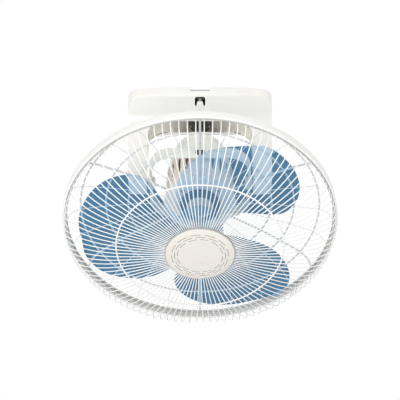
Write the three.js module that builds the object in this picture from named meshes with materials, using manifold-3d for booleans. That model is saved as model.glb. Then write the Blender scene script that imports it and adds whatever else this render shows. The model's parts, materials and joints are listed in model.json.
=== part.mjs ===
// Orbital ceiling fan. A ceiling base with a forked yoke carries an oval gimbal ring, the ring
// carries the motor head, and a small crank behind the motor walks the head round in a cone.
// Millimetres, +Z up, origin at the middle of the ceiling face, front of the fan towards -Y.
import * as THREE from 'three';
import { mergeVertices } from 'three/addons/utils/BufferGeometryUtils.js';
import Module from 'manifold-3d';

const wasm = await Module();
wasm.setup();

// ---- fits ----
const clear = 0.3; // gap between two pieces that touch, or that turn on each other
const past = 1; // how far a cut runs past the face that it opens
const roundSides = 14; // sides of a pin, bush or bore
const screwSides = 8;
const largeSides = 24; // sides of a housing or cover

// ---- ceiling base and yoke ----
const baseWidth = 250;
const baseDepth = 130;
const baseCorner = 23;
const baseBow = 5; // the long sides bulge this much at the middle
const baseWall = 2.5;
const skirtHeight = 15;
const skirtRound = 5;
const archDrop = 37; // ceiling to the underside of the yoke
const archCorner = 30;
const yokeDepth = 38;
const yokeFillet = 12;
const legInset = 4; // end of the base to the outside of a leg, at its pivot
const legThickness = 31;
const legCorner = 16;
const pivotDrop = 157; // ceiling to the crossing point of the two gimbal axes
const notchWidth = 34;
const notchHeight = 9;
const pocketWidth = 18;
const pocketFront = 3; // pocket edge to the inside of the skirt
const pocketLength = 17;
const tongueTip = 7; // width of the screw tongue at its tip and root
const tongueRoot = 14;
const tongueProud = 2;
const plateThickness = 2.5;
const plateGap = 0.5; // ceiling plate to the skirt, all round
const ceilingHoleX = 85;
const ceilingHoleY = 38;
const ceilingHoleRadius = 3;
const cableHoleRadius = 11;
const cableHoleY = 34;

// ---- fasteners ----
const screwRadius = 2;
const screwHeadRadius = 3.6;
const screwHeadHeight = 2;
const smallScrewRadius = 1.3;
const smallHeadRadius = 2.6;
const smallHeadHeight = 1.5;
const headTop = 0.8; // a screw head's top, as a share of its radius

// ---- gimbal ----
const headTilt = 14; // degrees that the head leans to the front at rest
const ringSideGap = 2; // ring boss to yoke leg, and to the motor
const ringHalfY = 68;
const ringCorner = 36;
const ringWall = 4.5;
const ringHeight = 24;
const ringBossRadius = 11;
const ringBossDepth = 12;
const ringBossProud = 3; // how far a boss stands out of the ring's end
const pinRadius = 4;
const pinHeadRadius = 8;
const pinHeadHeight = 3.2;
const bushWall = 2.7;

// ---- motor ----
const housingFrontRadius = 57.5;
const housingRearRadius = 50;
const housingRear = 64; // distances along the head's axis, rearwards from the gimbal centre
const housingWaist = 18; // the bell narrows rearwards from here
const housingWaistRadius = 56.3;
const housingFront = -30;
const housingWall = 2.5;
const ventCount = 24; // places round the bell, less the ones at the two pins
const ventWidth = 5;
const ventLow = -25;
const ventHigh = 12;
const coverFront = -50;
const coverFlat = 47; // radius of the flat front of the motor
const coverBelly = -38;
const coverRound = 2.5; // step inwards of the cover, half way from its belly to its flat
const neckRadius = 22;
const neckLength = 14;
const shaftRadius = 4;
const bearingRadius = 8;
const bearingLength = 10;
const bearingBoss = 2.7;
const shaftGap = 1.5; // shaft to the bore of the neck
const statorRadius = 50.4;
const statorFront = -14;
const statorRear = 24;
const statorSeat = 2; // width and height of the step that the stator rests against
const rotorRadius = 24;
const rotorInset = 2; // end of the stator to the end of the rotor
const airGap = 0.6;
const windingInner = 27;
const windingOuter = 37;
const windingLength = 13;
const boltCircle = 41;
const domeRadius = 44;
const domeHeight = 22;
const domeRound = 9.5;
const domeWall = 2;
const domeScrewX = 30;
const swingMotorRadius = 24;
const swingMotorHeight = 16;

// ---- crank ----
const crankShaftRadius = 3.5;
const crankGap = 4; // dome to the underside of the arm, clear of the screw heads
const armThickness = 5;
const armHubRadius = 8;
const armEndRadius = 7;
const crankPinRadius = 3;
const rollerRadius = 6.5;
const rollerLength = 14;
const rollerDrop = 2; // tip of the pin to the top of its roller
const pinDrop = 1.5; // underside of the arm to the foot of the pin
const crankScrewDepth = 8;
const crankScrewHead = 4.6;
const socketGap = 2.8; // open pivot: tip of the crank pin to the socket in the yoke
const socketPlay = 1.5; // roller to the bore of the socket
const socketRadius = 12;
const socketFlange = 20;
const socketFlangeHeight = 3;

// ---- blades ----
const bladeRadius = 196;
const hubRadius = 38;
const hubWall = 3;
const hubChamfer = 4;
const hubRear = -98;
const hubFront = -130;
const bladeCount = 3;
const bladeAngle = -10; // degrees of the first blade's straighter edge
const bladeMiddle = -117.5;
const bladePitch = 35; // front edge to rear edge at the root, along the axis
const bladeUntwist = 0.3; // share of that pitch lost at the tip
const bladeCamber = 5; // at the tip
const rootCamber = 1.5;
const rootSink = 2; // how far a blade's root reaches into the wall of the hub
const bladeThickness = 2.4;
const nutRadius = 15;
const nutLength = 13;
const nutWall = 2.4;
const nutTip = 9; // radius of the nut's front face
const nutTaper = 4.3;
const drivePinRadius = 1.5;
const drivePinLength = 22;

// ---- guards ----
const frontWires = 45;
const wireRadius = 1;
const wireSides = 3;
const rearPlaces = 24; // radial wires and braces together
const ringWireRadius = 1.6;
const rimWireRadius = 2;
const braceRadius = 2.2;
const braceSides = 4;
const braceCount = 6;
const hoopSides = 72;
const rimRadius = 218.5;
const rearRim = -93;
const frontRim = -102;
const guardPlateRadius = 60;
const guardPlateThickness = 2;
const wireLap = 3; // how far the wires reach over the edge of the rear guard's plate
const lockNutRadius = 33;
const lockNutLength = 9;
const hoopWall = 3.4;
const hoopOverlap = 3.2; // how far the hoop reaches past each rim wire
const hoopAngle = 45; // degrees of the hoop's joint, from the right towards the rear
const hoopSlot = 3;
const lugThickness = 3.5;
const lugHeight = 6;
const lugWidth = 11;
const bossRingRadius = 50;
const bossRing = -168.5;
const capRadius = 56;
const capRise = 6.5;
const capWall = 2;
const capProfile = [[0.55, 0.1], [0.82, 0.3], [0.95, 0.6]]; // shares of the cap's radius and rise
const capScrewCount = 3;
const capScrewAngle = 30;
const capScrewInset = 10;
const capScrewGrip = 5;
const retainerThickness = 2;
const retainerLap = 2; // how far the retainer reaches past the middle of the boss ring

const pivotHeight = -pivotDrop;
const legHalfWidth = baseWidth / 2 - legInset; // middle of the fan to the outside of a leg
const archHalfWidth = legHalfWidth - legThickness;
const tilt = THREE.MathUtils.degToRad(headTilt);

// ---- materials, by what each piece is made of ----
function finish(color, roughness, metalness, opacity = 1) {
  return new THREE.MeshStandardMaterial({ color, roughness, metalness, opacity, transparent: opacity < 1 });
}
const shellWhite = finish('#f7f4ec', 0.35, 0);
const ringWhite = finish('#eef1ea', 0.35, 0);
const wireWhite = finish('#f4f4f1', 0.4, 0.1);
const motorGrey = finish('#e1d8cd', 0.4, 0.2);
const capGrey = finish('#e9e3dc', 0.35, 0);
const bladeBlue = finish('#7fb2e6', 0.15, 0, 0.7);
const steel = finish('#b9bcc0', 0.35, 0.9);
const darkSteel = finish('#45413c', 0.5, 0.8);
const copper = finish('#b4652f', 0.4, 0.8);
const nylon = finish('#3b3a38', 0.6, 0);
const paleNylon = finish('#dcd8cf', 0.5, 0);

// ---- solids ----
function toSolid(geometry) {
  const bare = geometry.clone();
  bare.deleteAttribute('normal');
  bare.deleteAttribute('uv');
  const shared = mergeVertices(bare, 1e-4);
  const corners = shared.index.array;
  const triVerts = [];
  for (let i = 0; i < corners.length; i += 3) {
    const [a, b, c] = corners.slice(i, i + 3);
    if (a !== b && b !== c && c !== a) triVerts.push(a, b, c);
  }
  return new wasm.Manifold(new wasm.Mesh({
    numProp: 3,
    vertProperties: new Float32Array(shared.attributes.position.array),
    triVerts: new Uint32Array(triVerts),
  }));
}

function toGeometry(solid) {
  const { vertProperties, triVerts } = solid.getMesh();
  const geometry = new THREE.BufferGeometry();
  geometry.setAttribute('position', new THREE.BufferAttribute(vertProperties, 3));
  geometry.setIndex(new THREE.BufferAttribute(triVerts, 1));
  return geometry;
}

function join(...pieces) {
  return toGeometry(wasm.Manifold.union(pieces.map(toSolid)));
}

function cut(body, ...tools) {
  return toGeometry(tools.map(toSolid).reduce((rest, tool) => rest.subtract(tool), toSolid(body)));
}

function meet(...pieces) {
  return toGeometry(pieces.map(toSolid).reduce((shared, piece) => shared.intersect(piece)));
}

// ---- shapes ----
// a [radius, height] outline turned round Z, anticlockwise, on the axis at both ends or closed
function turned(outline, sides) {
  const points = outline.map(([radius, height]) => new THREE.Vector2(radius, height));
  return new THREE.LatheGeometry(points, sides).rotateX(Math.PI / 2);
}

function disc(radius, low, high, sides = roundSides) {
  return turned([[0, low], [radius, low], [radius, high], [0, high]], sides);
}

function pipe(inner, outer, low, high, sides = roundSides) {
  return turned([[inner, low], [outer, low], [outer, high], [inner, high], [inner, low]], sides);
}

// radius of a bore whose flats stay the clearance away from a shaft, at any turn
function boreFor(radius, sides = roundSides) {
  return (radius + clear) / Math.cos(Math.PI / sides);
}

function block(x0, x1, y0, y1, z0, z1) {
  const box = new THREE.BoxGeometry(x1 - x0, y1 - y0, z1 - z0);
  return box.translate((x0 + x1) / 2, (y0 + y1) / 2, (z0 + z1) / 2);
}

function raised(shape, low, high, curveSegments = 4) {
  const settings = { depth: high - low, bevelEnabled: false, curveSegments };
  return new THREE.ExtrudeGeometry(shape, settings).translate(0, 0, low);
}

// an outline in X and Z, extruded along Y between two places
function acrossY(shape, y0, y1, curveSegments = 5) {
  return raised(shape, -y1, -y0, curveSegments).rotateX(Math.PI / 2);
}

// an outline in Y and Z, extruded along X between two places
function acrossX(shape, x0, x1, curveSegments = 4) {
  return raised(shape, x0, x1, curveSegments).rotateX(Math.PI / 2).rotateZ(Math.PI / 2);
}

const alongX = (geometry) => geometry.rotateY(Math.PI / 2);
const alongY = (geometry) => geometry.rotateX(-Math.PI / 2);
const facing = (geometry, sign) => geometry.rotateZ(sign < 0 ? Math.PI : 0);

function polygon(points) {
  return new THREE.Shape(points.map(([x, y]) => new THREE.Vector2(x, y)));
}

// a screw with its head's underside at 0 and its shank towards -Z
function screw(shankRadius, length, headRadius, headHeight, sides = screwSides) {
  return turned([
    [0, -length], [shankRadius, -length], [shankRadius, 0], [headRadius, 0],
    [headRadius * headTop, headHeight], [0, headHeight],
  ], sides);
}

// ---- the assembly: each body is a group, and each piece a named mesh ----
const fan = new THREE.Group();
const gimbal = new THREE.Group(); // origin where the gimbal axes cross, +Z rearwards along the head
gimbal.position.set(0, 0, pivotHeight);
gimbal.rotation.x = -tilt;
fan.add(gimbal);

function piece(group, name, geometry, material, place = [0, 0, 0]) {
  const mesh = new THREE.Mesh(geometry, material);
  mesh.name = name;
  mesh.position.set(...place);
  group.add(mesh);
  return mesh;
}

const sides = { left: -1, right: 1 };
const ends = { front: -1, back: 1 };

// ---- ceiling base and yoke, one moulded shell, open at the ceiling ----
const slope = (archDrop - skirtHeight) / (baseDepth / 2 - yokeDepth / 2);
const slopeThickness = baseWall * Math.hypot(1, slope);
const slopeHeight = (y) => -skirtHeight - (baseDepth / 2 - y) * slope;

function basePlan(inset) {
  const x = baseWidth / 2 - inset;
  const y = baseDepth / 2 - inset;
  const r = baseCorner - inset;
  const end = y - baseBow;
  const shape = new THREE.Shape();
  shape.moveTo(-x + r, -end);
  shape.quadraticCurveTo(0, -y - baseBow, x - r, -end);
  shape.absarc(x - r, -end + r, r, -Math.PI / 2, 0);
  shape.absarc(x - r, end - r, r, 0, Math.PI / 2);
  shape.quadraticCurveTo(0, y + baseBow, -x + r, end);
  shape.absarc(-x + r, end - r, r, Math.PI / 2, Math.PI);
  shape.absarc(-x + r, -end + r, r, Math.PI, 1.5 * Math.PI);
  return shape;
}

function baseSide(inset, top) {
  const y = baseDepth / 2 - inset;
  const leg = yokeDepth / 2 - inset;
  const lift = inset > 0 ? slopeThickness : 0;
  const height = (at) => slopeHeight(at) + lift;
  const shape = new THREE.Shape();
  shape.moveTo(y, top);
  shape.lineTo(-y, top);
  shape.lineTo(-y, height(y) + skirtRound);
  shape.quadraticCurveTo(-y, height(y), -y + skirtRound, height(y - skirtRound));
  shape.lineTo(-leg - yokeFillet, height(leg + yokeFillet));
  shape.quadraticCurveTo(-leg, height(leg), -leg, height(leg) - yokeFillet);
  shape.absarc(0, pivotHeight, leg, Math.PI, 2 * Math.PI);
  shape.lineTo(leg, height(leg) - yokeFillet);
  shape.quadraticCurveTo(leg, height(leg), leg + yokeFillet, height(leg + yokeFillet));
  shape.lineTo(y - skirtRound, height(y - skirtRound));
  shape.quadraticCurveTo(y, height(y), y, height(y) + skirtRound);
  return shape;
}

function baseFront(inset, top) {
  const x = baseWidth / 2 - inset;
  const leg = legHalfWidth - inset;
  const foot = pivotHeight - yokeDepth / 2 + inset;
  const r = legCorner - inset;
  const archX = archHalfWidth - archCorner;
  const archZ = -archDrop - archCorner;
  const shape = new THREE.Shape();
  shape.moveTo(x, top);
  shape.lineTo(-x, top);
  shape.lineTo(-x, -skirtHeight);
  shape.lineTo(-leg, foot + r);
  shape.quadraticCurveTo(-leg, foot, -leg + r, foot);
  shape.lineTo(-archHalfWidth - inset, foot);
  shape.absarc(-archX, archZ, archCorner + inset, Math.PI, Math.PI / 2, true);
  shape.absarc(archX, archZ, archCorner + inset, Math.PI / 2, 0, true);
  shape.lineTo(archHalfWidth + inset, foot);
  shape.lineTo(leg - r, foot);
  shape.quadraticCurveTo(leg, foot, leg, foot + r);
  shape.lineTo(x, -skirtHeight);
  return shape;
}

function baseForm(inset, top) {
  const low = pivotHeight - yokeDepth;
  return meet(
    raised(basePlan(inset), low, top),
    acrossX(baseSide(inset, top), -baseWidth, baseWidth),
    acrossY(baseFront(inset, top), -baseDepth, baseDepth),
  );
}

const pinHeadDepth = pinHeadHeight + clear;
const pinSeatX = legHalfWidth - pinHeadDepth; // seat of a pivot pin's head in its leg
const skirtInside = baseDepth / 2 - baseWall;
const pocketY = -skirtInside + pocketFront; // front edge of the screw pocket
const postY = pocketY + tongueTip;
const postLow = slopeHeight(-postY) + baseWall + screwHeadHeight;
const tabLow = -skirtHeight + baseWall;
const tabX = baseWidth / 2 - baseWall - clear; // outer face of the ceiling plate's end tabs
const tabWidth = 16;
const tabDepth = 9;
const endScrewZ = (tabLow - plateThickness) / 2;
const roofHeight = -archDrop + baseWall; // inside of the yoke's roof
const socketScrewX = (socketRadius + socketFlange) / 2;

function pocketShape() {
  const half = pocketWidth / 2;
  const round = half / 2;
  const shape = new THREE.Shape();
  shape.moveTo(half, pocketY + pocketLength);
  shape.lineTo(-half, pocketY + pocketLength);
  shape.lineTo(-half, pocketY + round);
  shape.quadraticCurveTo(-half, pocketY, -half + round, pocketY);
  shape.lineTo(half - round, pocketY);
  shape.quadraticCurveTo(half, pocketY, half, pocketY + round);
  return shape;
}

function tongue() {
  const rear = pocketY + pocketLength + tongueRoot / 2;
  const tip = pocketY + tongueProud;
  const plan = new THREE.Shape();
  plan.moveTo(tongueRoot / 2, rear);
  plan.lineTo(-tongueRoot / 2, rear);
  plan.lineTo(-tongueTip / 2, tip + tongueTip / 2);
  plan.absarc(0, tip + tongueTip / 2, tongueTip / 2, Math.PI, 2 * Math.PI);
  const top = postLow - clear;
  const side = polygon([
    [tip, top], [tip, slopeHeight(-tip) - tongueProud], [rear, slopeHeight(-rear) - tongueProud / 2],
    [rear, slopeHeight(-rear) + baseWall], [postY + screwHeadRadius, top],
  ]);
  return meet(raised(plan, slopeHeight(0) - baseWall, 0), acrossX(side, -tongueRoot, tongueRoot));
}

function baseShell() {
  const shell = cut(
    baseForm(0, 0),
    baseForm(baseWall, past),
    block(-notchWidth / 2, notchWidth / 2, -baseDepth, -skirtInside + baseWall, -notchHeight, past),
    raised(pocketShape(), slopeHeight(0), -skirtHeight + baseWall),
    disc(socketRadius + clear, -archDrop - past, roofHeight + past),
    ...[-1, 1].map((side) => disc(smallScrewRadius + clear, -archDrop - past, roofHeight + past, screwSides)
      .translate(side * socketScrewX, 0, 0)),
  );
  const bosses = [-1, 1].map((side) => {
    const boss = disc(pinHeadRadius + baseWall, archHalfWidth + baseWall / 2, legHalfWidth - baseWall / 2);
    return alongX(boss).rotateY(side < 0 ? Math.PI : 0).translate(0, 0, pivotHeight);
  });
  const holes = [-1, 1].flatMap((side) => [
    disc(pinRadius + clear, archHalfWidth - past, baseWidth / 2),
    disc(pinHeadRadius + clear, pinSeatX, baseWidth / 2),
  ].map((hole) => alongX(hole).rotateY(side < 0 ? Math.PI : 0).translate(0, 0, pivotHeight)));
  const endHoles = [-1, 1].flatMap((side) => [
    disc(screwRadius + clear, tabX - past, baseWidth / 2 + past, screwSides),
    disc(screwHeadRadius + clear, baseWidth / 2 - baseWall / 2, baseWidth / 2 + past, screwSides),
  ].map((hole) => alongX(hole).rotateY(side < 0 ? Math.PI : 0).translate(0, 0, endScrewZ)));
  const tongueHoles = [
    disc(screwRadius + clear, -archDrop, 0, screwSides).translate(0, postY, 0),
    disc(screwHeadRadius + clear, -archDrop, postLow - clear - baseWall, screwSides).translate(0, postY, 0),
  ];
  return cut(join(shell, tongue(), ...bosses), ...holes, ...endHoles, ...tongueHoles);
}
piece(fan, 'yoke_base', baseShell(), shellWhite);

// ---- ceiling plate with its screw post and end tabs ----
function ceilingPlate() {
  const plate = raised(basePlan(baseWall + plateGap), -plateThickness, 0);
  const post = disc(screwHeadRadius + baseWall, postLow, -plateThickness / 2).translate(0, postY, 0);
  const tabs = [-1, 1].map((side) => block(
    Math.min(side * tabX, side * (tabX - tabDepth)), Math.max(side * tabX, side * (tabX - tabDepth)),
    -tabWidth / 2, tabWidth / 2, tabLow, -plateThickness / 2,
  ));
  const holes = [-1, 1].flatMap((x) => [-1, 1].map((y) => disc(ceilingHoleRadius, -plateThickness - past, past)
    .translate(x * ceilingHoleX, y * ceilingHoleY, 0)));
  const endHoles = [-1, 1].map((side) => alongX(disc(
    screwRadius + clear, tabX - tabDepth - past, tabX + past, screwSides,
  )).rotateY(side < 0 ? Math.PI : 0).translate(0, 0, endScrewZ));
  return cut(
    join(plate, post, ...tabs),
    ...holes,
    ...endHoles,
    disc(cableHoleRadius, -plateThickness - past, past).translate(0, cableHoleY, 0),
    disc(screwRadius + clear, postLow - past, -plateThickness, screwSides).translate(0, postY, 0),
  );
}
piece(fan, 'ceiling_plate', ceilingPlate(), steel);

const frontSeat = postLow - clear - baseWall;
const frontGrip = -plateThickness - frontSeat - clear;
piece(fan, 'base_screw_front', screw(
  screwRadius, frontGrip, screwHeadRadius, screwHeadHeight,
).rotateX(Math.PI), steel, [0, postY, frontSeat - clear]);
for (const [side, sign] of Object.entries(sides)) {
  const geometry = alongX(screw(screwRadius, tabDepth, screwHeadRadius, baseWall / 2 - clear));
  const seat = baseWidth / 2 - baseWall / 2 + clear;
  piece(fan, `base_screw_${side}`, facing(geometry, sign), steel, [sign * seat, 0, endScrewZ]);
}

// ---- wiring inside the base ----
const underPlate = -plateThickness - clear;
const terminalX = -52;
const terminalLength = 36;
const terminalWidth = 18;
const terminalHeight = 11;
const terminalPoles = 3;
const terminalEnds = 12; // length of the block's two ends, past its poles
function terminalBlock() {
  const body = block(-terminalLength / 2, terminalLength / 2, -terminalWidth / 2, terminalWidth / 2,
    underPlate - terminalHeight, underPlate);
  const pitch = (terminalLength - terminalEnds) / terminalPoles;
  const wells = [];
  for (let pole = 0; pole < terminalPoles; pole += 1) {
    const x = (pole - (terminalPoles - 1) / 2) * pitch;
    for (const y of [-terminalWidth / 4, terminalWidth / 4]) {
      wells.push(disc(
        smallHeadRadius, underPlate - terminalHeight - past, underPlate - terminalHeight / 2, screwSides,
      ).translate(x, y, 0));
    }
  }
  return cut(body, ...wells);
}
piece(fan, 'terminal_block', terminalBlock(), paleNylon, [terminalX, 0, 0]);

const capacitorX = 54;
const capacitorSize = [38, 17, 24];
const earLength = 9;
const earHeight = 3;
const earX = capacitorSize[0] / 2 + earLength / 2;
function capacitor() {
  const [length, width, height] = capacitorSize;
  return cut(
    join(
      block(-length / 2, length / 2, -width / 2, width / 2, underPlate - height, underPlate),
      block(-length / 2, length / 2 + earLength, -width / 2, width / 2, underPlate - earHeight, underPlate),
    ),
    disc(smallScrewRadius + clear, underPlate - earHeight - past, 0, screwSides).translate(earX, 0, 0),
  );
}
piece(fan, 'run_capacitor', capacitor(), nylon, [capacitorX, 0, 0]);
piece(fan, 'capacitor_screw', screw(smallScrewRadius, earHeight, smallHeadRadius, smallHeadHeight)
  .rotateX(Math.PI), steel, [capacitorX + earX, 0, underPlate - earHeight - clear]);

const clampX = -26;
const clampY = 34;
const clampLength = 26;
const clampWidth = 9;
const clampHeight = 6;
const leadRadius = 3.5;
const clampEnd = 4; // end of the clamp to its screw
const clampScrewX = clampLength / 2 - clampEnd;
function cableClamp() {
  const body = block(-clampLength / 2, clampLength / 2, -clampWidth / 2, clampWidth / 2,
    underPlate - clampHeight, underPlate);
  const groove = alongY(disc(leadRadius, -clampWidth, clampWidth, screwSides)).translate(0, 0, underPlate);
  const holes = [-1, 1].map((side) => disc(
    smallScrewRadius + clear, underPlate - clampHeight - past, 0, screwSides,
  ).translate(side * clampScrewX, 0, 0));
  return cut(body, groove, ...holes);
}
piece(fan, 'cable_clamp', cableClamp(), nylon, [clampX, clampY, 0]);
for (const [side, sign] of Object.entries(sides)) {
  piece(fan, `clamp_screw_${side}`, screw(smallScrewRadius, clampHeight, smallHeadRadius, smallHeadHeight)
    .rotateX(Math.PI), steel, [clampX + sign * clampScrewX, clampY, underPlate - clampHeight - clear]);
}

// ---- crank socket in the roof of the yoke ----
const socketSeat = roofHeight + clear;
const socketTop = socketSeat + socketFlangeHeight;
const socketBore = rollerRadius + socketPlay;
function crankSocket() {
  const body = turned([
    [0, socketSeat], [socketBore, socketSeat], [socketBore, -archDrop], [socketRadius, -archDrop],
    [socketRadius, socketSeat], [socketFlange, socketSeat], [socketFlange, socketTop], [0, socketTop],
  ], roundSides);
  return cut(body, ...[-1, 1].map((side) => disc(
    smallScrewRadius + clear, socketSeat - past, socketTop + past, screwSides,
  ).translate(side * socketScrewX, 0, 0)));
}
piece(fan, 'crank_socket', crankSocket(), nylon);
for (const [side, sign] of Object.entries(sides)) {
  const length = socketTop + archDrop;
  piece(fan, `socket_screw_${side}`, screw(smallScrewRadius, length, smallHeadRadius, smallHeadHeight),
    steel, [sign * socketScrewX, 0, socketTop + clear]);
}

// ---- gimbal ring, its pins in the yoke and its pins to the motor ----
const bossOuterX = archHalfWidth - ringSideGap;
const bossInnerX = bossOuterX - ringBossDepth;
const ringHalfX = bossOuterX - ringBossProud;
const bushRadius = pinRadius + clear + bushWall;
const ringInnerY = ringHalfY - ringWall;
const motorBossY = ringInnerY - ringSideGap;
const motorBossInnerY = statorRadius + 2 * clear;

function ringOutline(inset) {
  const x = ringHalfX - inset;
  const y = ringHalfY - inset;
  const r = ringCorner - inset;
  const shape = new THREE.Shape();
  shape.absarc(x - r, -y + r, r, -Math.PI / 2, 0);
  shape.absarc(x - r, y - r, r, 0, Math.PI / 2);
  shape.absarc(-x + r, y - r, r, Math.PI / 2, Math.PI);
  shape.absarc(-x + r, -y + r, r, Math.PI, 1.5 * Math.PI);
  return shape;
}

function gimbalRing() {
  const half = ringHeight / 2;
  const band = cut(
    raised(ringOutline(0), -half, half, 6),
    raised(ringOutline(ringWall), -half - past, half + past, 6),
  );
  const bosses = [-1, 1].map((side) => facing(alongX(disc(ringBossRadius, bossInnerX, bossOuterX)), side));
  const bores = [-1, 1].flatMap((side) => [
    facing(alongX(disc(bushRadius + clear, bossInnerX - past, bossOuterX + past)), side),
    facing(alongX(disc(pinRadius + clear, ringInnerY - past, ringHalfY + past)), side).rotateZ(Math.PI / 2),
  ]);
  return cut(join(band, ...bosses), ...bores);
}
piece(gimbal, 'gimbal_ring', gimbalRing(), ringWhite);

for (const [side, sign] of Object.entries(sides)) {
  const length = pinSeatX - bossInnerX;
  const pin = alongX(screw(pinRadius, length, pinHeadRadius, pinHeadHeight, roundSides));
  piece(fan, `yoke_pin_${side}`, facing(pin, sign), darkSteel, [sign * (pinSeatX + clear), 0, pivotHeight]);
  const bush = alongX(pipe(boreFor(pinRadius), bushRadius, bossInnerX, bossOuterX));
  piece(gimbal, `ring_bush_${side}`, facing(bush, sign), nylon);
}
for (const [end, sign] of Object.entries(ends)) {
  const length = ringHalfY - motorBossInnerY;
  const pin = alongX(screw(pinRadius, length, pinHeadRadius, pinHeadHeight, roundSides));
  const turn = sign * Math.PI / 2;
  piece(gimbal, `ring_pin_${end}`, pin.rotateZ(turn), darkSteel, [0, sign * (ringHalfY + clear), 0]);
  const bush = alongX(pipe(boreFor(pinRadius), bushRadius, motorBossInnerY, motorBossY));
  piece(gimbal, `motor_bush_${end}`, bush.rotateZ(turn), nylon);
}

// ---- motor ----
const rearInside = housingRear - housingWall;
const shoulder = 6;
const bearingSeat = bearingRadius + clear;
const bearingOuter = bearingSeat + bearingBoss;
const rearBearingLow = rearInside - clear - bearingLength;
const boltPlaces = [45, 135, 225, 315].map((angle) => {
  const turn = THREE.MathUtils.degToRad(angle);
  return [boltCircle * Math.cos(turn), boltCircle * Math.sin(turn)];
});
const boltHoles = (low, high) => boltPlaces.map(([x, y]) => disc(screwRadius + clear, low, high, screwSides)
  .translate(x, y, 0));

// the bell of the motor, front to rear, inside by the inset
function bell(inset) {
  return [
    [housingFrontRadius - inset, housingFront], [housingWaistRadius - inset, housingWaist],
    [housingRearRadius - inset, housingRear - shoulder],
  ];
}

function motorHousing() {
  const shell = turned([
    [0, rearInside], [bearingSeat, rearInside], [bearingSeat, rearBearingLow], [bearingOuter, rearBearingLow],
    [bearingOuter, rearInside], [housingRearRadius - shoulder, rearInside],
    ...bell(housingWall).reverse(), ...bell(0),
    [housingRearRadius - shoulder / 3, housingRear - shoulder / 3],
    [housingRearRadius - shoulder, housingRear], [0, housingRear],
  ], largeSides);
  const seatLow = statorRear + clear;
  const seatShare = (seatLow - housingWaist) / (housingRear - shoulder - housingWaist);
  const seatWall = THREE.MathUtils.lerp(housingWaistRadius, housingRearRadius, seatShare) - housingWall / 2;
  const seat = pipe(statorRadius - statorSeat, seatWall, seatLow, seatLow + statorSeat, largeSides);
  const vents = [];
  for (let vent = 0; vent < ventCount; vent += 1) {
    const turn = (vent + 0.5) * 2 * Math.PI / ventCount;
    if (Math.abs(Math.cos(turn)) * statorRadius > bushRadius + ringBossRadius) {
      vents.push(block(
        statorRadius, housingFrontRadius + past, -ventWidth / 2, ventWidth / 2, ventLow, ventHigh,
      ).rotateZ(turn));
    }
  }
  const bosses = [-1, 1].map((side) => alongX(disc(bushRadius + clear + bushWall, motorBossInnerY, motorBossY))
    .rotateZ(side * Math.PI / 2));
  const bores = [-1, 1].map((side) => alongX(disc(
    bushRadius + clear, motorBossInnerY - past, motorBossY + past,
  )).rotateZ(side * Math.PI / 2));
  const domeHoles = [-1, 1].map((side) => disc(
    smallScrewRadius + clear, rearInside - past, housingRear + past, screwSides,
  ).translate(side * domeScrewX, 0, 0));
  return cut(
    join(shell, seat, ...bosses), ...vents, ...bores, ...domeHoles,
    ...boltHoles(rearInside - past, housingRear + past),
  );
}
piece(gimbal, 'motor_housing', motorHousing(), motorGrey);

const neckFront = coverFront - neckLength;
const coverInside = coverFront + housingWall;
const coverRear = housingFront - clear;
const frontBearingLow = coverInside - clear - bearingLength;
const shaftBore = shaftRadius + shaftGap;
function motorCover() {
  const outer = housingFrontRadius;
  const inner = housingFrontRadius - housingWall;
  const flare = (coverBelly - coverFront) / 2;
  const body = turned([
    [shaftBore, neckFront], [neckRadius, neckFront], [neckRadius, coverFront], [coverFlat, coverFront],
    [outer - coverRound, coverFront + flare], [outer, coverBelly], [outer, coverRear], [inner, coverRear],
    [inner, coverBelly], [inner - coverRound, coverFront + flare], [coverFlat - coverRound / 2, coverInside],
    [bearingSeat, coverInside], [bearingSeat, frontBearingLow - clear], [shaftBore, frontBearingLow - clear],
    [shaftBore, neckFront],
  ], largeSides);
  return cut(body, ...boltHoles(coverFront - past, coverInside + past));
}
piece(gimbal, 'motor_front_cover', motorCover(), motorGrey);

const airRadius = (rotorRadius + airGap) / Math.cos(Math.PI / roundSides);
piece(gimbal, 'stator_core', cut(
  pipe(airRadius, statorRadius, statorFront, statorRear),
  ...boltHoles(statorFront - past, statorRear + past),
), steel);
piece(gimbal, 'winding_front', pipe(windingInner, windingOuter, -windingLength, 0), copper,
  [0, 0, statorFront - clear]);
piece(gimbal, 'winding_rear', pipe(windingInner, windingOuter, 0, windingLength), copper,
  [0, 0, statorRear + clear]);
piece(gimbal, 'bearing_rear', pipe(boreFor(shaftRadius), bearingRadius, 0, bearingLength), darkSteel,
  [0, 0, rearBearingLow]);
piece(gimbal, 'bearing_front', pipe(boreFor(shaftRadius), bearingRadius, 0, bearingLength), darkSteel,
  [0, 0, frontBearingLow]);

// ---- swing motor under the dome ----
const domeFoot = housingRear + clear;
const domeTop = housingRear + domeHeight;
function motorDome() {
  const steps = 3;
  const arc = (radius) => Array.from({ length: steps + 1 }, (_, step) => {
    const turn = step / steps * Math.PI / 2;
    return [domeRadius - domeRound + radius * Math.cos(turn), domeTop - domeRound + radius * Math.sin(turn)];
  });
  const hole = boreFor(crankShaftRadius);
  const body = turned([
    [domeRadius - domeWall, domeFoot], [domeRadius, domeFoot], ...arc(domeRound),
    [hole, domeTop], [hole, domeTop - domeWall], ...arc(domeRound - domeWall).reverse(),
    [domeRadius - domeWall, domeFoot],
  ], largeSides);
  return cut(body, ...[-1, 1].map((side) => disc(
    smallScrewRadius + clear, domeFoot, domeTop + past, screwSides,
  ).translate(side * domeScrewX, 0, 0)));
}
piece(gimbal, 'motor_dome', motorDome(), ringWhite);
for (const [side, sign] of Object.entries(sides)) {
  piece(gimbal, `dome_screw_${side}`, screw(
    smallScrewRadius, domeTop - rearInside, smallHeadRadius, smallHeadHeight,
  ), steel, [sign * domeScrewX, 0, domeTop + clear]);
}
const swingMotorTop = domeFoot + swingMotorHeight;
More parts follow.
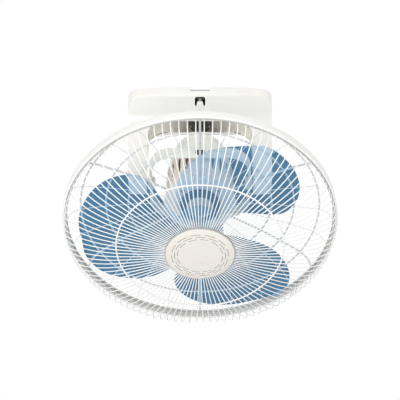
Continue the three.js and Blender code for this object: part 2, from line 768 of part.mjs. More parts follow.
piece(gimbal, 'swing_motor', pipe(
  boreFor(crankShaftRadius), swingMotorRadius, domeFoot, swingMotorTop,
), steel);

// ---- crank: its pin stands upright on the line from the gimbal centre to the yoke's socket ----
const armLow = domeTop + crankGap;
const armTop = armLow + armThickness;
const armReach = (armLow + armThickness / 2) * Math.tan(tilt);
const pinTip = pivotDrop - archDrop - socketGap;
const pinFoot = armLow / Math.cos(tilt) - pinDrop;
const rollerTop = pinTip - rollerDrop;
piece(gimbal, 'swing_shaft', cut(
  disc(crankShaftRadius, domeFoot + clear, armTop),
  disc(screwRadius + clear, armTop - crankScrewDepth - past, armTop + past, screwSides),
), steel);
function crankArm() {
  const shape = new THREE.Shape();
  shape.absarc(0, 0, armHubRadius, 0, Math.PI);
  shape.absarc(0, -armReach, armEndRadius, Math.PI, 2 * Math.PI);
  return cut(
    raised(shape, armLow, armTop, 6),
    disc(crankShaftRadius + clear, armLow - past, armTop + past),
    disc(crankPinRadius + clear, armLow - armReach, armTop + armReach).rotateX(tilt),
  );
}
piece(gimbal, 'crank_arm', crankArm(), paleNylon);
piece(gimbal, 'crank_screw', screw(screwRadius, crankScrewDepth, crankScrewHead, screwHeadHeight), steel,
  [0, 0, armTop + clear]);
const upright = new THREE.Group();
upright.rotation.x = tilt;
gimbal.add(upright);
piece(upright, 'crank_pin', disc(crankPinRadius, pinFoot, pinTip), steel);
piece(upright, 'crank_roller', pipe(
  boreFor(crankPinRadius), rollerRadius, rollerTop - rollerLength, rollerTop,
), nylon);

// ---- shaft, rotor and blades ----
const drivePinZ = hubRear + clear + drivePinRadius;
const nutFront = hubFront - clear - nutLength;
piece(gimbal, 'motor_shaft', cut(
  disc(shaftRadius, nutFront + nutWall + clear, rearInside - clear),
  alongX(disc(drivePinRadius + clear, -shaftRadius - past, shaftRadius + past, screwSides))
    .translate(0, 0, drivePinZ),
), steel);
piece(gimbal, 'rotor_core', pipe(
  shaftRadius + clear, rotorRadius, statorFront + rotorInset, statorRear - rotorInset,
), darkSteel);
piece(gimbal, 'drive_pin', alongX(disc(
  drivePinRadius, -drivePinLength / 2, drivePinLength / 2, screwSides,
)), steel, [0, 0, drivePinZ]);
piece(gimbal, 'blade_nut', turned([
  [0, nutFront], [nutTip, nutFront], [nutRadius, nutFront + nutTaper], [nutRadius, hubFront - clear],
  [shaftRadius + clear, hubFront - clear], [shaftRadius + clear, nutFront + nutWall], [0, nutFront + nutWall],
], roundSides), bladeBlue);

// each edge of a blade, root to tip: share of the way out, and degrees from the first edge's line
const straightEdge = [[0.19, 24], [0.31, 15], [0.43, 8], [0.56, 2.5], [0.68, 1], [0.79, 6], [0.88, 14],
  [0.95, 25], [0.99, 38], [1, 46]];
const roundEdge = [[0.19, 122], [0.29, 114], [0.41, 107], [0.52, 102], [0.65, 95.5], [0.77, 88], [0.87, 80.5],
  [0.935, 74], [0.97, 67.5], [0.985, 61]];
const edgeCurve = (points) => new THREE.SplineCurve(points.map(([share, angle]) => new THREE.Vector2(
  Math.max(share * bladeRadius, hubRadius - rootSink), angle)));

function blade(turn) {
  const first = edgeCurve(straightEdge);
  const last = edgeCurve(roundEdge);
  const geometry = new THREE.BoxGeometry(1, 1, 1, 5, 9, 1);
  const place = geometry.attributes.position;
  for (let i = 0; i < place.count; i += 1) {
    const across = place.getX(i) + 0.5;
    const along = Math.min(Math.max(place.getY(i) + 0.5, 0), 1);
    const from = first.getPoint(along);
    const to = last.getPoint(along);
    const radius = from.x + (to.x - from.x) * across;
    const angle = THREE.MathUtils.degToRad(from.y + (to.y - from.y) * across + turn);
    const pitch = bladePitch * (1 - bladeUntwist * along);
    const camber = rootCamber + (bladeCamber - rootCamber) * along;
    const height = bladeMiddle + (0.5 - across) * pitch + camber * 4 * across * (1 - across);
    const face = place.getZ(i) * bladeThickness;
    place.setXYZ(i, radius * Math.cos(angle), -radius * Math.sin(angle), height + face);
  }
  return geometry;
}

function bladeSet() {
  const bore = shaftRadius + clear;
  const boss = bore + hubWall * 2;
  const inner = hubRadius - hubWall;
  const hub = turned([
    [bore, hubFront], [hubRadius - hubChamfer, hubFront], [hubRadius, hubFront + hubChamfer],
    [hubRadius, hubRear], [inner, hubRear], [inner, hubFront + hubWall], [boss, hubFront + hubWall],
    [boss, hubRear], [bore, hubRear], [bore, hubFront],
  ], largeSides);
  const blades = Array.from({ length: bladeCount }, (_, i) => blade(-bladeAngle + i * 360 / bladeCount));
  return join(hub, ...blades);
}
piece(gimbal, 'blade_set', bladeSet(), bladeBlue);

// ---- guards: wires bent at the points of a [radius, distance along the axis] outline, and rings ----
class Bends extends THREE.Curve {
  constructor(points) {
    super();
    this.points = points;
  }

  getPoint(t, target = new THREE.Vector3()) {
    const reach = t * (this.points.length - 1);
    const last = Math.min(Math.floor(reach), this.points.length - 2);
    return target.lerpVectors(this.points[last], this.points[last + 1], reach - last);
  }

  getPointAt(t, target) {
    return this.getPoint(t, target);
  }

  getTangentAt(t, target) {
    return this.getTangent(t, target);
  }
}

function wire(outline, radius, facets) {
  const extrudePath = new Bends(outline.map(([r, z]) => new THREE.Vector3(r, 0, z)));
  const section = polygon(Array.from({ length: facets }, (_, i) => {
    const turn = 2 * Math.PI * i / facets;
    return [radius * Math.cos(turn), radius * Math.sin(turn)];
  }));
  return new THREE.ExtrudeGeometry(section, { steps: outline.length - 1, extrudePath });
}

function around(geometry, count, first = 0) {
  return Array.from({ length: count }, (_, i) => geometry.clone().rotateZ(first + 2 * Math.PI * i / count));
}

// a ring whose flats face the radial wires
function ringWire(radius, tube, height, flats) {
  return pipe(radius - tube, radius + tube, height - tube, height + tube, flats).rotateZ(Math.PI / flats);
}

const plateRear = coverFront - clear;
const plateFront = plateRear - guardPlateThickness;
const plateMiddle = (plateRear + plateFront) / 2;
const rearRings = [[119, -53.5], [156, -58.5], [197, -66]];
const rearShoulder = [213, -77];
const rearOutline = [
  [guardPlateRadius - wireLap, plateMiddle], ...rearRings, rearShoulder, [rimRadius, rearRim],
];
const braceStep = rearPlaces / braceCount;
function rearGuard() {
  const plate = pipe(boreFor(neckRadius, largeSides), guardPlateRadius, plateFront, plateRear, rearPlaces)
    .rotateZ(Math.PI / rearPlaces);
  return cut(
    join(
      plate,
      ...rearRings.map(([radius, height]) => ringWire(radius, ringWireRadius, height, rearPlaces)),
      ringWire(rimRadius, rimWireRadius, rearRim, rearPlaces),
      ...around(wire(rearOutline, wireRadius, wireSides), rearPlaces)
        .filter((_, i) => (i + braceStep / 2) % braceStep !== 0),
      ...around(wire(rearOutline, braceRadius, braceSides), braceCount, Math.PI / braceCount),
    ),
    ...boltHoles(plateFront - past, plateRear + past),
  );
}
piece(gimbal, 'rear_guard', rearGuard(), wireWhite);

const boltSeat = plateFront - clear;
boltPlaces.forEach(([x, y], i) => {
  const length = rearInside + housingWall / 2 - boltSeat;
  piece(gimbal, `motor_bolt_${i + 1}`, screw(
    screwRadius, length, screwHeadRadius, screwHeadHeight,
  ).rotateX(Math.PI), steel, [x, y, boltSeat]);
});
piece(gimbal, 'guard_lock_nut', pipe(
  neckRadius + clear, lockNutRadius, boltSeat - lockNutLength, boltSeat, largeSides,
), nylon);

const frontRing = [134, -158];
const frontShoulder = [[220, -114], [213, -127], [182, -145]];
const frontOutline = [[rimRadius, frontRim], ...frontShoulder, frontRing, [bossRingRadius, bossRing]];
function frontGuard() {
  return join(
    ringWire(rimRadius, rimWireRadius, frontRim, frontWires),
    ringWire(frontRing[0], ringWireRadius, frontRing[1], frontWires),
    ringWire(bossRingRadius, ringWireRadius, bossRing, frontWires),
    ...around(wire(frontOutline, wireRadius, wireSides), frontWires),
  );
}
piece(gimbal, 'front_guard', frontGuard(), wireWhite);

// ---- hoop that clamps the two rims together ----
const hoopInner = rimRadius + rimWireRadius + clear;
const hoopOuter = hoopInner + hoopWall;
const hoopMiddle = (rearRim + frontRim) / 2;
const hoopTurn = THREE.MathUtils.degToRad(hoopAngle);
const lugMiddle = hoopOuter + lugHeight / 2;
const lugFace = hoopSlot / 2 + lugThickness + clear;
function guardHoop() {
  const band = pipe(hoopInner, hoopOuter, frontRim - hoopOverlap, rearRim + hoopOverlap, hoopSides);
  const lugs = [-1, 1].map((side) => {
    const near = side * hoopSlot / 2;
    const far = side * (hoopSlot / 2 + lugThickness);
    return block(hoopInner + hoopWall / 2, hoopOuter + lugHeight, Math.min(near, far), Math.max(near, far),
      hoopMiddle - lugWidth / 2, hoopMiddle + lugWidth / 2).rotateZ(hoopTurn);
  });
  const slot = block(hoopInner - past, hoopOuter + lugHeight + past, -hoopSlot / 2, hoopSlot / 2,
    frontRim - lugWidth, rearRim + lugWidth).rotateZ(hoopTurn);
  const bore = alongY(disc(screwRadius + clear, -lugFace - past, lugFace + past, screwSides))
    .translate(lugMiddle, 0, hoopMiddle).rotateZ(hoopTurn);
  return cut(join(band, ...lugs), slot, bore);
}
piece(gimbal, 'guard_hoop', guardHoop(), wireWhite);

const hoopJoint = new THREE.Group();
hoopJoint.rotation.z = hoopTurn;
gimbal.add(hoopJoint);
const nutThickness = 3;
const hoopScrewHead = lugHeight / 2 - clear;
piece(hoopJoint, 'hoop_screw', alongY(screw(
  screwRadius, 2 * lugFace + nutThickness, hoopScrewHead, screwHeadHeight,
)), darkSteel, [lugMiddle, lugFace, hoopMiddle]);
piece(hoopJoint, 'hoop_nut', alongY(pipe(screwRadius + clear, hoopScrewHead, -nutThickness, 0, screwSides)),
  darkSteel, [lugMiddle, -lugFace, hoopMiddle]);

// ---- cap over the middle of the front guard ----
const capBack = bossRing - ringWireRadius - clear;
const spigotRadius = bossRingRadius - ringWireRadius - clear;
const spigotRear = bossRing + ringWireRadius;
const capScrewRing = spigotRadius - capScrewInset;
const retainerFront = spigotRear + clear;
const retainerRear = retainerFront + retainerThickness;
const capScrews = Array.from({ length: capScrewCount }, (_, i) => {
  const turn = THREE.MathUtils.degToRad(capScrewAngle + i * 360 / capScrewCount);
  return [capScrewRing * Math.cos(turn), capScrewRing * Math.sin(turn)];
});
function guardCap() {
  const front = capBack - capRise;
  const inner = spigotRadius - capWall;
  const body = turned([
    [0, front], ...capProfile.map(([out, rise]) => [capRadius * out, front + capRise * rise]),
    [capRadius, capBack], [spigotRadius, capBack], [spigotRadius, spigotRear], [inner, spigotRear],
    [inner, front + capRise * capProfile[1][1] + capWall], [0, front + capWall],
  ], largeSides);
  const bosses = capScrews.map(([x, y]) => disc(screwHeadRadius, front + capWall, spigotRear, screwSides)
    .translate(x, y, 0));
  const holes = capScrews.map(([x, y]) => disc(
    smallScrewRadius + clear, front + 2 * capWall, spigotRear + past, screwSides,
  ).translate(x, y, 0));
  return cut(join(body, ...bosses), ...holes);
}
piece(gimbal, 'guard_cap', guardCap(), capGrey);
piece(gimbal, 'cap_retainer', cut(
  disc(bossRingRadius + retainerLap, retainerFront, retainerRear, largeSides),
  ...capScrews.map(([x, y]) => disc(
    smallScrewRadius + clear, retainerFront - past, retainerRear + past, screwSides,
  ).translate(x, y, 0)),
), paleNylon);
capScrews.forEach(([x, y], i) => {
  piece(gimbal, `cap_screw_${i + 1}`, screw(
    smallScrewRadius, retainerThickness + capScrewGrip, smallHeadRadius, smallHeadHeight,
  ), steel, [x, y, retainerRear + clear]);
});

export default fan;
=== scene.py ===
import json
from math import atan2, cos, pi, radians, sin
import bmesh
import bpy
from mathutils import Matrix, Vector

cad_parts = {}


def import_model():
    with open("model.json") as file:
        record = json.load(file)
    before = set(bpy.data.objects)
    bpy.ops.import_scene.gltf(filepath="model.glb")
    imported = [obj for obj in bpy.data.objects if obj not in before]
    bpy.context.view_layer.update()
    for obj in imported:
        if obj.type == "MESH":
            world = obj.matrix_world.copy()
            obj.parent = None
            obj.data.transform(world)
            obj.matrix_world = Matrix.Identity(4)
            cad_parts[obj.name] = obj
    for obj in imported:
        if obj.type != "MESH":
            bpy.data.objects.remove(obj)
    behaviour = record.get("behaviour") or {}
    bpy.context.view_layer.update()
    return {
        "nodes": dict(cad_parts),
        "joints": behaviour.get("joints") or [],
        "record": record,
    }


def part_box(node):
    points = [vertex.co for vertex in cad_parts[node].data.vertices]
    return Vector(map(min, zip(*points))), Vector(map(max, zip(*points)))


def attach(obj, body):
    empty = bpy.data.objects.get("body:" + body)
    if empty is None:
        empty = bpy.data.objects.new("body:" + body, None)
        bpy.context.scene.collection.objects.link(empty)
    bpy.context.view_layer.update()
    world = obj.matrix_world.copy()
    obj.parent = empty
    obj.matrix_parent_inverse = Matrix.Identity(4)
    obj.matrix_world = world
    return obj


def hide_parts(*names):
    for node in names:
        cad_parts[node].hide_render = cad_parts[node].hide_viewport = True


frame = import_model()
scene = bpy.context.scene
print("frame loaded:", len(frame["nodes"]), "solids")

# the head's own frame: origin where the gimbal axes cross, +Z rearwards along the motor shaft
spin = next(joint for joint in frame["joints"] if joint["name"] == "rotor_spin")
pivot = Vector(spin["pos_m"])
headTilt = atan2(-spin["axis"][1], -spin["axis"][2])
headFrame = Matrix.Translation(pivot) @ Matrix.Rotation(-headTilt, 4, "X")
baseFrame = Matrix.Identity(4)
faceFront = Matrix.Rotation(pi / 2, 4, "X")  # turns an outline's Y upwards, seen from the front
faceSide = Matrix.Rotation(pi / 2, 4, "Z") @ faceFront  # the same, seen from the side
touchGap = 0.0003  # the gap that touching pieces keep
past = 0.002  # how far a cutting tool runs past the face that it cuts
through = 0.01  # the reach of a tool that goes right through a wall
across = 0.2  # the reach of a tool that crosses the whole base
done = set()  # solids that a dressed piece stands for


class Value:
    # a socket that takes part in Python expressions: each operator adds its Math node
    def __init__(self, paint, socket):
        self.paint = paint
        self.socket = socket

    def maths(self, operation, first, second=0.5):
        node = self.paint.add("ShaderNodeMath", {"operation": operation}, {0: first, 1: second})
        return Value(self.paint, node.outputs[0])

    def __add__(self, other):
        return self.maths("ADD", self, other)

    def __radd__(self, other):
        return self.maths("ADD", other, self)

    def __sub__(self, other):
        return self.maths("SUBTRACT", self, other)

    def __rsub__(self, other):
        return self.maths("SUBTRACT", other, self)

    def __mul__(self, other):
        return self.maths("MULTIPLY", self, other)

    def __rmul__(self, other):
        return self.maths("MULTIPLY", other, self)

    def __lt__(self, other):
        return self.maths("LESS_THAN", self, other)

    def __gt__(self, other):
        return self.maths("GREATER_THAN", self, other)

    def root(self):
        return self.maths("SQRT", self)

    def size(self):
        return self.maths("ABSOLUTE", self)

    def fraction(self):
        return self.maths("FRACT", self)


def addNode(tree, kind, settings, inputs):
    # a node with its settings, then the value or the link of each socket that is named
    node = tree.nodes.new(kind)
    for setting, value in settings.items():
        setattr(node, setting, value)
    for socket, value in inputs.items():
        if isinstance(value, Value):
            value = value.socket
        if isinstance(value, bpy.types.NodeSocket):
            tree.links.new(value, node.inputs[socket])
        else:
            node.inputs[socket].default_value = value
    return node


class Paint:
    # one material on the Principled shader, with patterns that follow Object coordinates
    def __init__(self, name, colour, **sockets):
        self.material = bpy.data.materials.new(name)
        self.material.use_nodes = True
        self.tree = self.material.node_tree
        self.shader = self.tree.nodes["Principled BSDF"]
        self.place = self.add("ShaderNodeTexCoord", {}, {}).outputs["Object"]
        self.shader.inputs["Base Color"].default_value = (*colour, 1)
        for socket, value in sockets.items():
            self.shader.inputs[socket.replace("_", " ")].default_value = value

    def add(self, kind, settings, inputs):
        return addNode(self.tree, kind, settings, inputs)

    def noise(self, scale, detail=3, stretch=(1, 1, 1)):
        place = self.add("ShaderNodeMapping", {}, {"Vector": self.place, "Scale": stretch}).outputs[0]
        node = self.add("ShaderNodeTexNoise", {}, {"Vector": place, "Scale": scale, "Detail": detail})
        return Value(self, node.outputs[0])

    def between(self, mask, low, high):
        return low + mask * (high - low)

    def tint(self, mask, under, over):
        # a colour, or a colour's socket, with another colour over it where the mask is 1
        if not isinstance(under, bpy.types.NodeSocket):
            under = (*under, 1)
        node = self.add("ShaderNodeMix", {"data_type": "RGBA"}, {0: mask, 6: under, 7: (*over, 1)})
        return node.outputs[2]

    def feed(self, socket, value):
        if isinstance(value, Value):
            value = value.socket
        self.tree.links.new(value, self.shader.inputs[socket])

    def bump(self, height, distance):
        node = self.add("ShaderNodeBump", {}, {"Height": height, "Distance": distance, "Strength": 1})
        self.tree.links.new(node.outputs[0], self.shader.inputs["Normal"])


def moulded(name, colour, warm, rough, grain=0.00002, coat=0.0):
    # smooth moulded plastic: faint clouds in the colour, fine tool grain, gloss that wanders a little
    paint = Paint(name, colour, Coat_Weight=coat, Coat_Roughness=0.08)
    clouds = paint.noise(9)
    paint.feed("Base Color", paint.tint(clouds, colour, warm))
    paint.feed("Roughness", paint.between(paint.noise(60), rough - 0.06, rough + 0.08))
    paint.bump(paint.noise(1400, 2), grain)
    return paint


def enamelled(name, colour, shade, rough, peel):
    # sprayed enamel or powder coat: orange peel, and a slightly darker film in the low spots
    paint = Paint(name, colour, Coat_Weight=0.25, Coat_Roughness=0.15)
    skin = paint.noise(420, 2)
    paint.feed("Base Color", paint.tint(skin, colour, shade))
    paint.feed("Roughness", paint.between(paint.noise(90), rough - 0.08, rough + 0.08))
    paint.bump(skin, peel)
    return paint


def metal(name, colour, stain, rough, stretch=(1, 1, 18)):
    # drawn or plated metal: long fine scratches and a faint tarnish
    paint = Paint(name, colour, Metallic=1.0)
    marks = paint.noise(700, 2, stretch)
    tarnish = paint.noise(45)
    paint.feed("Base Color", paint.tint(tarnish, colour, stain))
    paint.feed("Roughness", paint.between(marks, rough - 0.1, rough + 0.12))
    paint.bump(marks, 0.00001)
    return paint


def capPaint():
    # the cap's face carries three plain rings of short dashes, and a grey line of painted shade round its
    # edge
    design = {"rings": (0.036, 0.0405, 0.045), "half": 0.00045, "dashes": 12, "share": 0.72,
              "ink": (0.2, 0.165, 0.12), "edge": 0.0548, "edgeShade": (0.42, 0.41, 0.37), "back": -0.16}
    paint = moulded("capGrey", (0.82, 0.79, 0.735), (0.8, 0.765, 0.71), 0.28, coat=0.3)
    turn = paint.add("ShaderNodeMapping", {"vector_type": "TEXTURE"}, {
        "Vector": paint.place, "Location": pivot, "Rotation": (-headTilt, 0, 0)}).outputs[0]
    parts = paint.add("ShaderNodeSeparateXYZ", {}, {0: turn}).outputs
    x, y, w = (Value(paint, socket) for socket in parts)
    out = (x * x + y * y).root()
    angle = y.maths("ARCTAN2", y, x)
    ink = 0
    for order, ring in enumerate(design["rings"]):
        band = (out - ring).size() < design["half"]
        step = (angle * (design["dashes"] / (2 * pi)) + order / len(design["rings"])).fraction()
        ink = ink + band * (step < design["share"])
    front = w < design["back"]
    face = paint.shader.inputs["Base Color"].links[0].from_socket
    # painted shade: the face is greyed beyond the edge radius
    face = paint.tint((out > design["edge"]) * front, face, design["edgeShade"])
    paint.feed("Base Color", paint.tint(ink * front, face, design["ink"]))
    return paint


def bladePaint():
    # clear blue plastic: a ray crosses two skins of it, and the piece behind shows through both
    paint = Paint("bladeBlue", (0.14, 0.47, 0.8), IOR=1.5, Alpha=0.25, Coat_Weight=0.3, Coat_Roughness=0.05)
    depth = paint.noise(14)
    paint.feed("Base Color", paint.tint(depth, (0.13, 0.45, 0.77), (0.17, 0.52, 0.86)))
    paint.feed("Roughness", paint.between(paint.noise(80), 0.1, 0.2))
    return paint


def channelPaint():
    # the channel under the yoke is bare plastic with painted shade: darker towards the crank, broken up a
    # little by noise
    design = {"reach": 0.08, "patchy": 0.15, "paintedShade": (0.12, 0.1, 0.065), "bare": (0.93, 0.91, 0.84)}
    paint = moulded("channelShade", design["bare"], design["paintedShade"], 0.6)
    parts = paint.add("ShaderNodeSeparateXYZ", {}, {0: paint.place}).outputs
    far = Value(paint, parts[0]).size() * (1 / design["reach"]) + (paint.noise(60) - 0.5) * design["patchy"]
    # painted shade: the colour runs from the dark painted shade at the crank to bare plastic towards the ends
    paint.feed("Base Color", paint.tint(far, design["paintedShade"], design["bare"]))
    return paint


paints = {
    "shell_white": moulded("shellWhite", (0.93, 0.92, 0.88), (0.915, 0.9, 0.85), 0.3, coat=0.3),
    "ring_white": moulded("ringWhite", (0.86, 0.88, 0.83), (0.85, 0.86, 0.8), 0.3, coat=0.2),
    "guard_white": enamelled("guardWhite", (0.93, 0.93, 0.92), (0.9, 0.9, 0.88), 0.35, 0.00003),
    # painted shade: the next two are the white guard enamel greyed, standing in for the shade on the rings,
    # braces and rims
    "guard_ring_painted_shade": enamelled("guardRingPaintedShade", (0.8, 0.8, 0.78), (0.75, 0.75, 0.73), 0.35, 0.00003),
    "guard_rim_painted_shade": enamelled("guardRimPaintedShade", (0.6, 0.6, 0.58), (0.54, 0.54, 0.52), 0.35, 0.00003),
    "motor_enamel": enamelled("motorEnamel", (0.86, 0.79, 0.71), (0.81, 0.74, 0.66), 0.38, 0.00006),
    "cap_grey": capPaint(),
    "blade_blue": bladePaint(),
    "plated_steel": metal("platedSteel", (0.5, 0.5, 0.49), (0.44, 0.42, 0.37), 0.32),
    "dark_steel": metal("darkSteel", (0.1, 0.09, 0.08), (0.06, 0.055, 0.05), 0.38),
    "copper": metal("copper", (0.6, 0.26, 0.12), (0.45, 0.18, 0.08), 0.35),
    "black_nylon": moulded("blackNylon", (0.03, 0.03, 0.03), (0.045, 0.043, 0.04), 0.5, grain=0.00004),
    "pale_nylon": moulded("paleNylon", (0.72, 0.69, 0.62), (0.68, 0.65, 0.57), 0.5, grain=0.00004),
    # painted shade: the shell's inside is near-black where white plastic would be, for the shade inside the
    # base
    "shell_inside_painted_shade": moulded("shellInsidePaintedShade", (0.045, 0.036, 0.022), (0.06, 0.05, 0.033), 0.7),
    "channel_shade": channelPaint(),
}
print("materials made:", len(paints))


def span(node, space=baseFrame):
    # a solid's lowest and highest corners in a frame of its own
    back = space.inverted()
    places = [back @ vertex.co for vertex in frame["nodes"][node].data.vertices]
    return Vector(map(min, zip(*places))), Vector(map(max, zip(*places)))


def allOf(form):
    return form.verts[:] + form.edges[:] + form.faces[:]


def shifted(form, *move):
    bmesh.ops.translate(form, vec=move, verts=form.verts)
    return form


def swung(form, angle):
    bmesh.ops.rotate(form, cent=(0, 0, 0), matrix=Matrix.Rotation(angle, 3, "Z"), verts=form.verts)
    return form


def rounded(form, items, radius, segments, affect="EDGES", clamp=False):
    bmesh.ops.bevel(form, geom=items, offset=radius, segments=segments, affect=affect, profile=0.5,
                    material=-1, clamp_overlap=clamp)
    return form


def outlined(points):
    # the corners of an outline joined in turn, in a new bmesh
    form = bmesh.new()
    corners = [form.verts.new(point) for point in points]
    for pair in zip(corners, corners[1:]):
        form.edges.new(pair)
    return form, corners


def spunFull(form, steps):
    # what is drawn on one side of Z, turned all the way round it
    bmesh.ops.spin(form, geom=form.verts[:] + form.edges[:], cent=(0, 0, 0), axis=(0, 0, 1), angle=2 * pi,
                   steps=steps, use_merge=True)
    bmesh.ops.remove_doubles(form, verts=form.verts, dist=1e-6)
    bmesh.ops.recalc_face_normals(form, faces=form.faces)
    return form


def turned(points, rounding=0.0, steps=96, closed=False, segments=3):
    # a (radius, height) outline turned round Z, its corners rounded first
    form, corners = outlined([(radius, 0, height) for radius, height in points])
    if closed:
        form.edges.new((corners[-1], corners[0]))
    if rounding:
        rounded(form, corners if closed else corners[1:-1], rounding, segments, "VERTICES", True)
    return spunFull(form, steps)


def tube(inner, outer, low, high, edge, steps):
    # a plain ring with rounded edges, or a peg where it has no bore
    return turned([(inner, low), (outer, low), (outer, high), (inner, high)], edge, steps, inner > 0)


def prism(points, low, high, rounds=(), facing=baseFrame, segments=8):
    # an outline in X and Y with some corners rounded, raised along Z, then turned to face its way
    form, corners = outlined([(x, y, low) for x, y in points])
    form.edges.new((corners[-1], corners[0]))
    for corner, radius in rounds:
        rounded(form, [corners[corner]], radius, segments, "VERTICES")
    bmesh.ops.contextual_create(form, geom=form.edges[:])
    raised = bmesh.ops.extrude_face_region(form, geom=form.faces[:])["geom"]
    tops = [item for item in raised if isinstance(item, bmesh.types.BMVert)]
    bmesh.ops.translate(form, vec=(0, 0, high - low), verts=tops)
    bmesh.ops.transform(form, matrix=facing, verts=form.verts)
    bmesh.ops.recalc_face_normals(form, faces=form.faces)
    return form


def box(low, high, rounding=0.0, segments=3):
    form = bmesh.new()
    size = Vector(high) - Vector(low)
    bmesh.ops.create_cube(form, size=1, matrix=Matrix.Translation((Vector(low) + Vector(high)) / 2)
                          @ Matrix.Diagonal((*size, 1)))
    if rounding:
        rounded(form, form.edges[:], rounding, segments)
    return form


def edgesAlong(form, axis, least):
    # a box's edges that run a given way
    return [edge for edge in form.edges if abs(edge.verts[0].co[axis] - edge.verts[1].co[axis]) > least]


def rod(radius, low, high, facing=baseFrame, sides=48, tip=None):
    # a cylinder, or a cone where the tip has its own radius
    form = bmesh.new()
    bmesh.ops.create_cone(form, cap_ends=True, segments=sides, radius1=radius,
                          radius2=radius if tip is None else tip, depth=high - low,
                          matrix=facing @ Matrix.Translation((0, 0, (low + high) / 2)))
    return form


def meshOf(form, name):
    mesh = bpy.data.meshes.new(name)
    form.to_mesh(mesh)
    form.free()
    return mesh


def placed(name, data):
    item = bpy.data.objects.new(name, data)
    scene.collection.objects.link(item)
    return item


def asObject(form, name):
    mesh = meshOf(form, name)
    for _ in range(3):  # a piece has three finishes at most
        mesh.materials.append(None)
    return placed(name, mesh)


def carve(form, tool, operation="DIFFERENCE", finish=0):
    # joins, cuts or crosses two closed forms; the tool's faces bring the piece's finish of that number
    for face in tool.faces:
        face.material_index = finish
    body = asObject(form, "body")
    cutter = asObject(tool, "cutter")
    change = body.modifiers.new("cut", "BOOLEAN")
    change.operation = operation
    change.object = cutter
    change.solver = "EXACT"
    result = bmesh.new()
    result.from_object(body, bpy.context.evaluated_depsgraph_get())
    for item in (body, cutter):
        mesh = item.data
        bpy.data.objects.remove(item)
        bpy.data.meshes.remove(mesh)
    bmesh.ops.remove_doubles(result, verts=result.verts, dist=1e-6)
    return result


def softened(form, width, segments=3, angle=40):
    # rounds the sharp edges of a form
    edges = [edge for edge in form.edges
             if len(edge.link_faces) == 2 and edge.calc_face_angle(0) > radians(angle)]
    return rounded(form, edges, width, segments, clamp=True)


def merged(*forms):
    whole = bmesh.new()
    for form in forms:
        mesh = meshOf(form, "part")
        whole.from_mesh(mesh)
        bpy.data.meshes.remove(mesh)
    return whole


def settle(form, name, body, slot, nodes, space=baseFrame, edge=0.0, sharp=35, more=()):
    # makes the piece, gives it its finishes, and has it stand for its solids on its body
    bmesh.ops.transform(form, matrix=space, verts=form.verts)
    mesh = meshOf(form, name)
    for finish in (slot, *more):
        mesh.materials.append(paints[finish].material)
    piece = placed(name, mesh)
    mesh.shade_smooth()
    mesh.set_sharp_from_angle(angle=radians(sharp))
    if edge:
        bevel = piece.modifiers.new("edge", "BEVEL")
        bevel.width = edge
        bevel.segments = 2
        bevel.limit_method = "ANGLE"
        bevel.angle_limit = radians(sharp)
        bevel.harden_normals = False
    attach(piece, body)
    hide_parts(*nodes)
    done.update(nodes)


def onAxis(axis, sign=1):
    toward = Vector([sign if axis == name else 0 for name in "XYZ"])
    return toward.to_track_quat("Z", "Y").to_matrix().to_4x4()


base = {"corner": 0.023, "bow": 0.005, "wall": 0.0025, "skirt": 0.015, "skirtRound": 0.006, "drop": 0.037,
        "archHalf": 0.09, "archCorner": 0.03, "legHalf": 0.121, "legDepth": 0.038, "fillet": 0.013,
        "legCorner": 0.016, "footRound": 0.98, "edge": 0.0035, "notch": 0.034, "notchHigh": 0.009,
        "notchDeep": 0.006,
        "pocket": 0.018, "pocketLong": 0.017, "pocketFront": 0.003, "pocketFloor": -0.06,
        "pocketRoof": -0.008}
channel = {"rim": 0.003, "deep": 0.007, "foot": 0.088, "end": 0.104, "inner": 0.012, "mouth": 0.02,
           "rimGrows": 0.8}
tongue = {"tip": 0.007, "root": 0.014, "front": 0.0072, "back": 0.014, "high": 0.014, "gap": 0.0005,
          "proud": 0.002, "tipRound": 0.95, "edge": 0.0008}
pinSeat = {"bore": 0.0043, "wall": 0.0025, "inset": 0.001, "headDeep": 0.0038}
screwSeat = {"bore": 0.0023, "boreDeep": 0.01, "sink": 0.0041, "sinkDeep": 0.00135}


def basePlan(inset, foot, top):
    # the plan of the base, its corners round and its long sides bowed, raised between two heights
    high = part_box("yoke_base")[1]
    halfX = high.x - inset
    halfY = high.y - inset
    plan = box((-halfX, -halfY + base["bow"], foot), (halfX, halfY - base["bow"], top))
    upright = [edge for edge in plan.edges if edge.verts[0].co.xy == edge.verts[1].co.xy]
    rounded(plan, upright, base["corner"] - inset, 10)
    bmesh.ops.subdivide_edges(plan, edges=edgesAlong(plan, 0, halfX), cuts=15, use_grid_fill=True)
    for vertex in plan.verts:
        bow = base["bow"] * (1 - min(abs(vertex.co.x) / (halfX - base["corner"]), 1) ** 2)
        vertex.co.y += bow if vertex.co.y > 0 else -bow
    return plan


def slopeUnder():
    # how fast the base's underside falls from the skirt to the legs
    return (base["drop"] - base["skirt"]) / (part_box("yoke_base")[1].y - base["legDepth"] / 2)


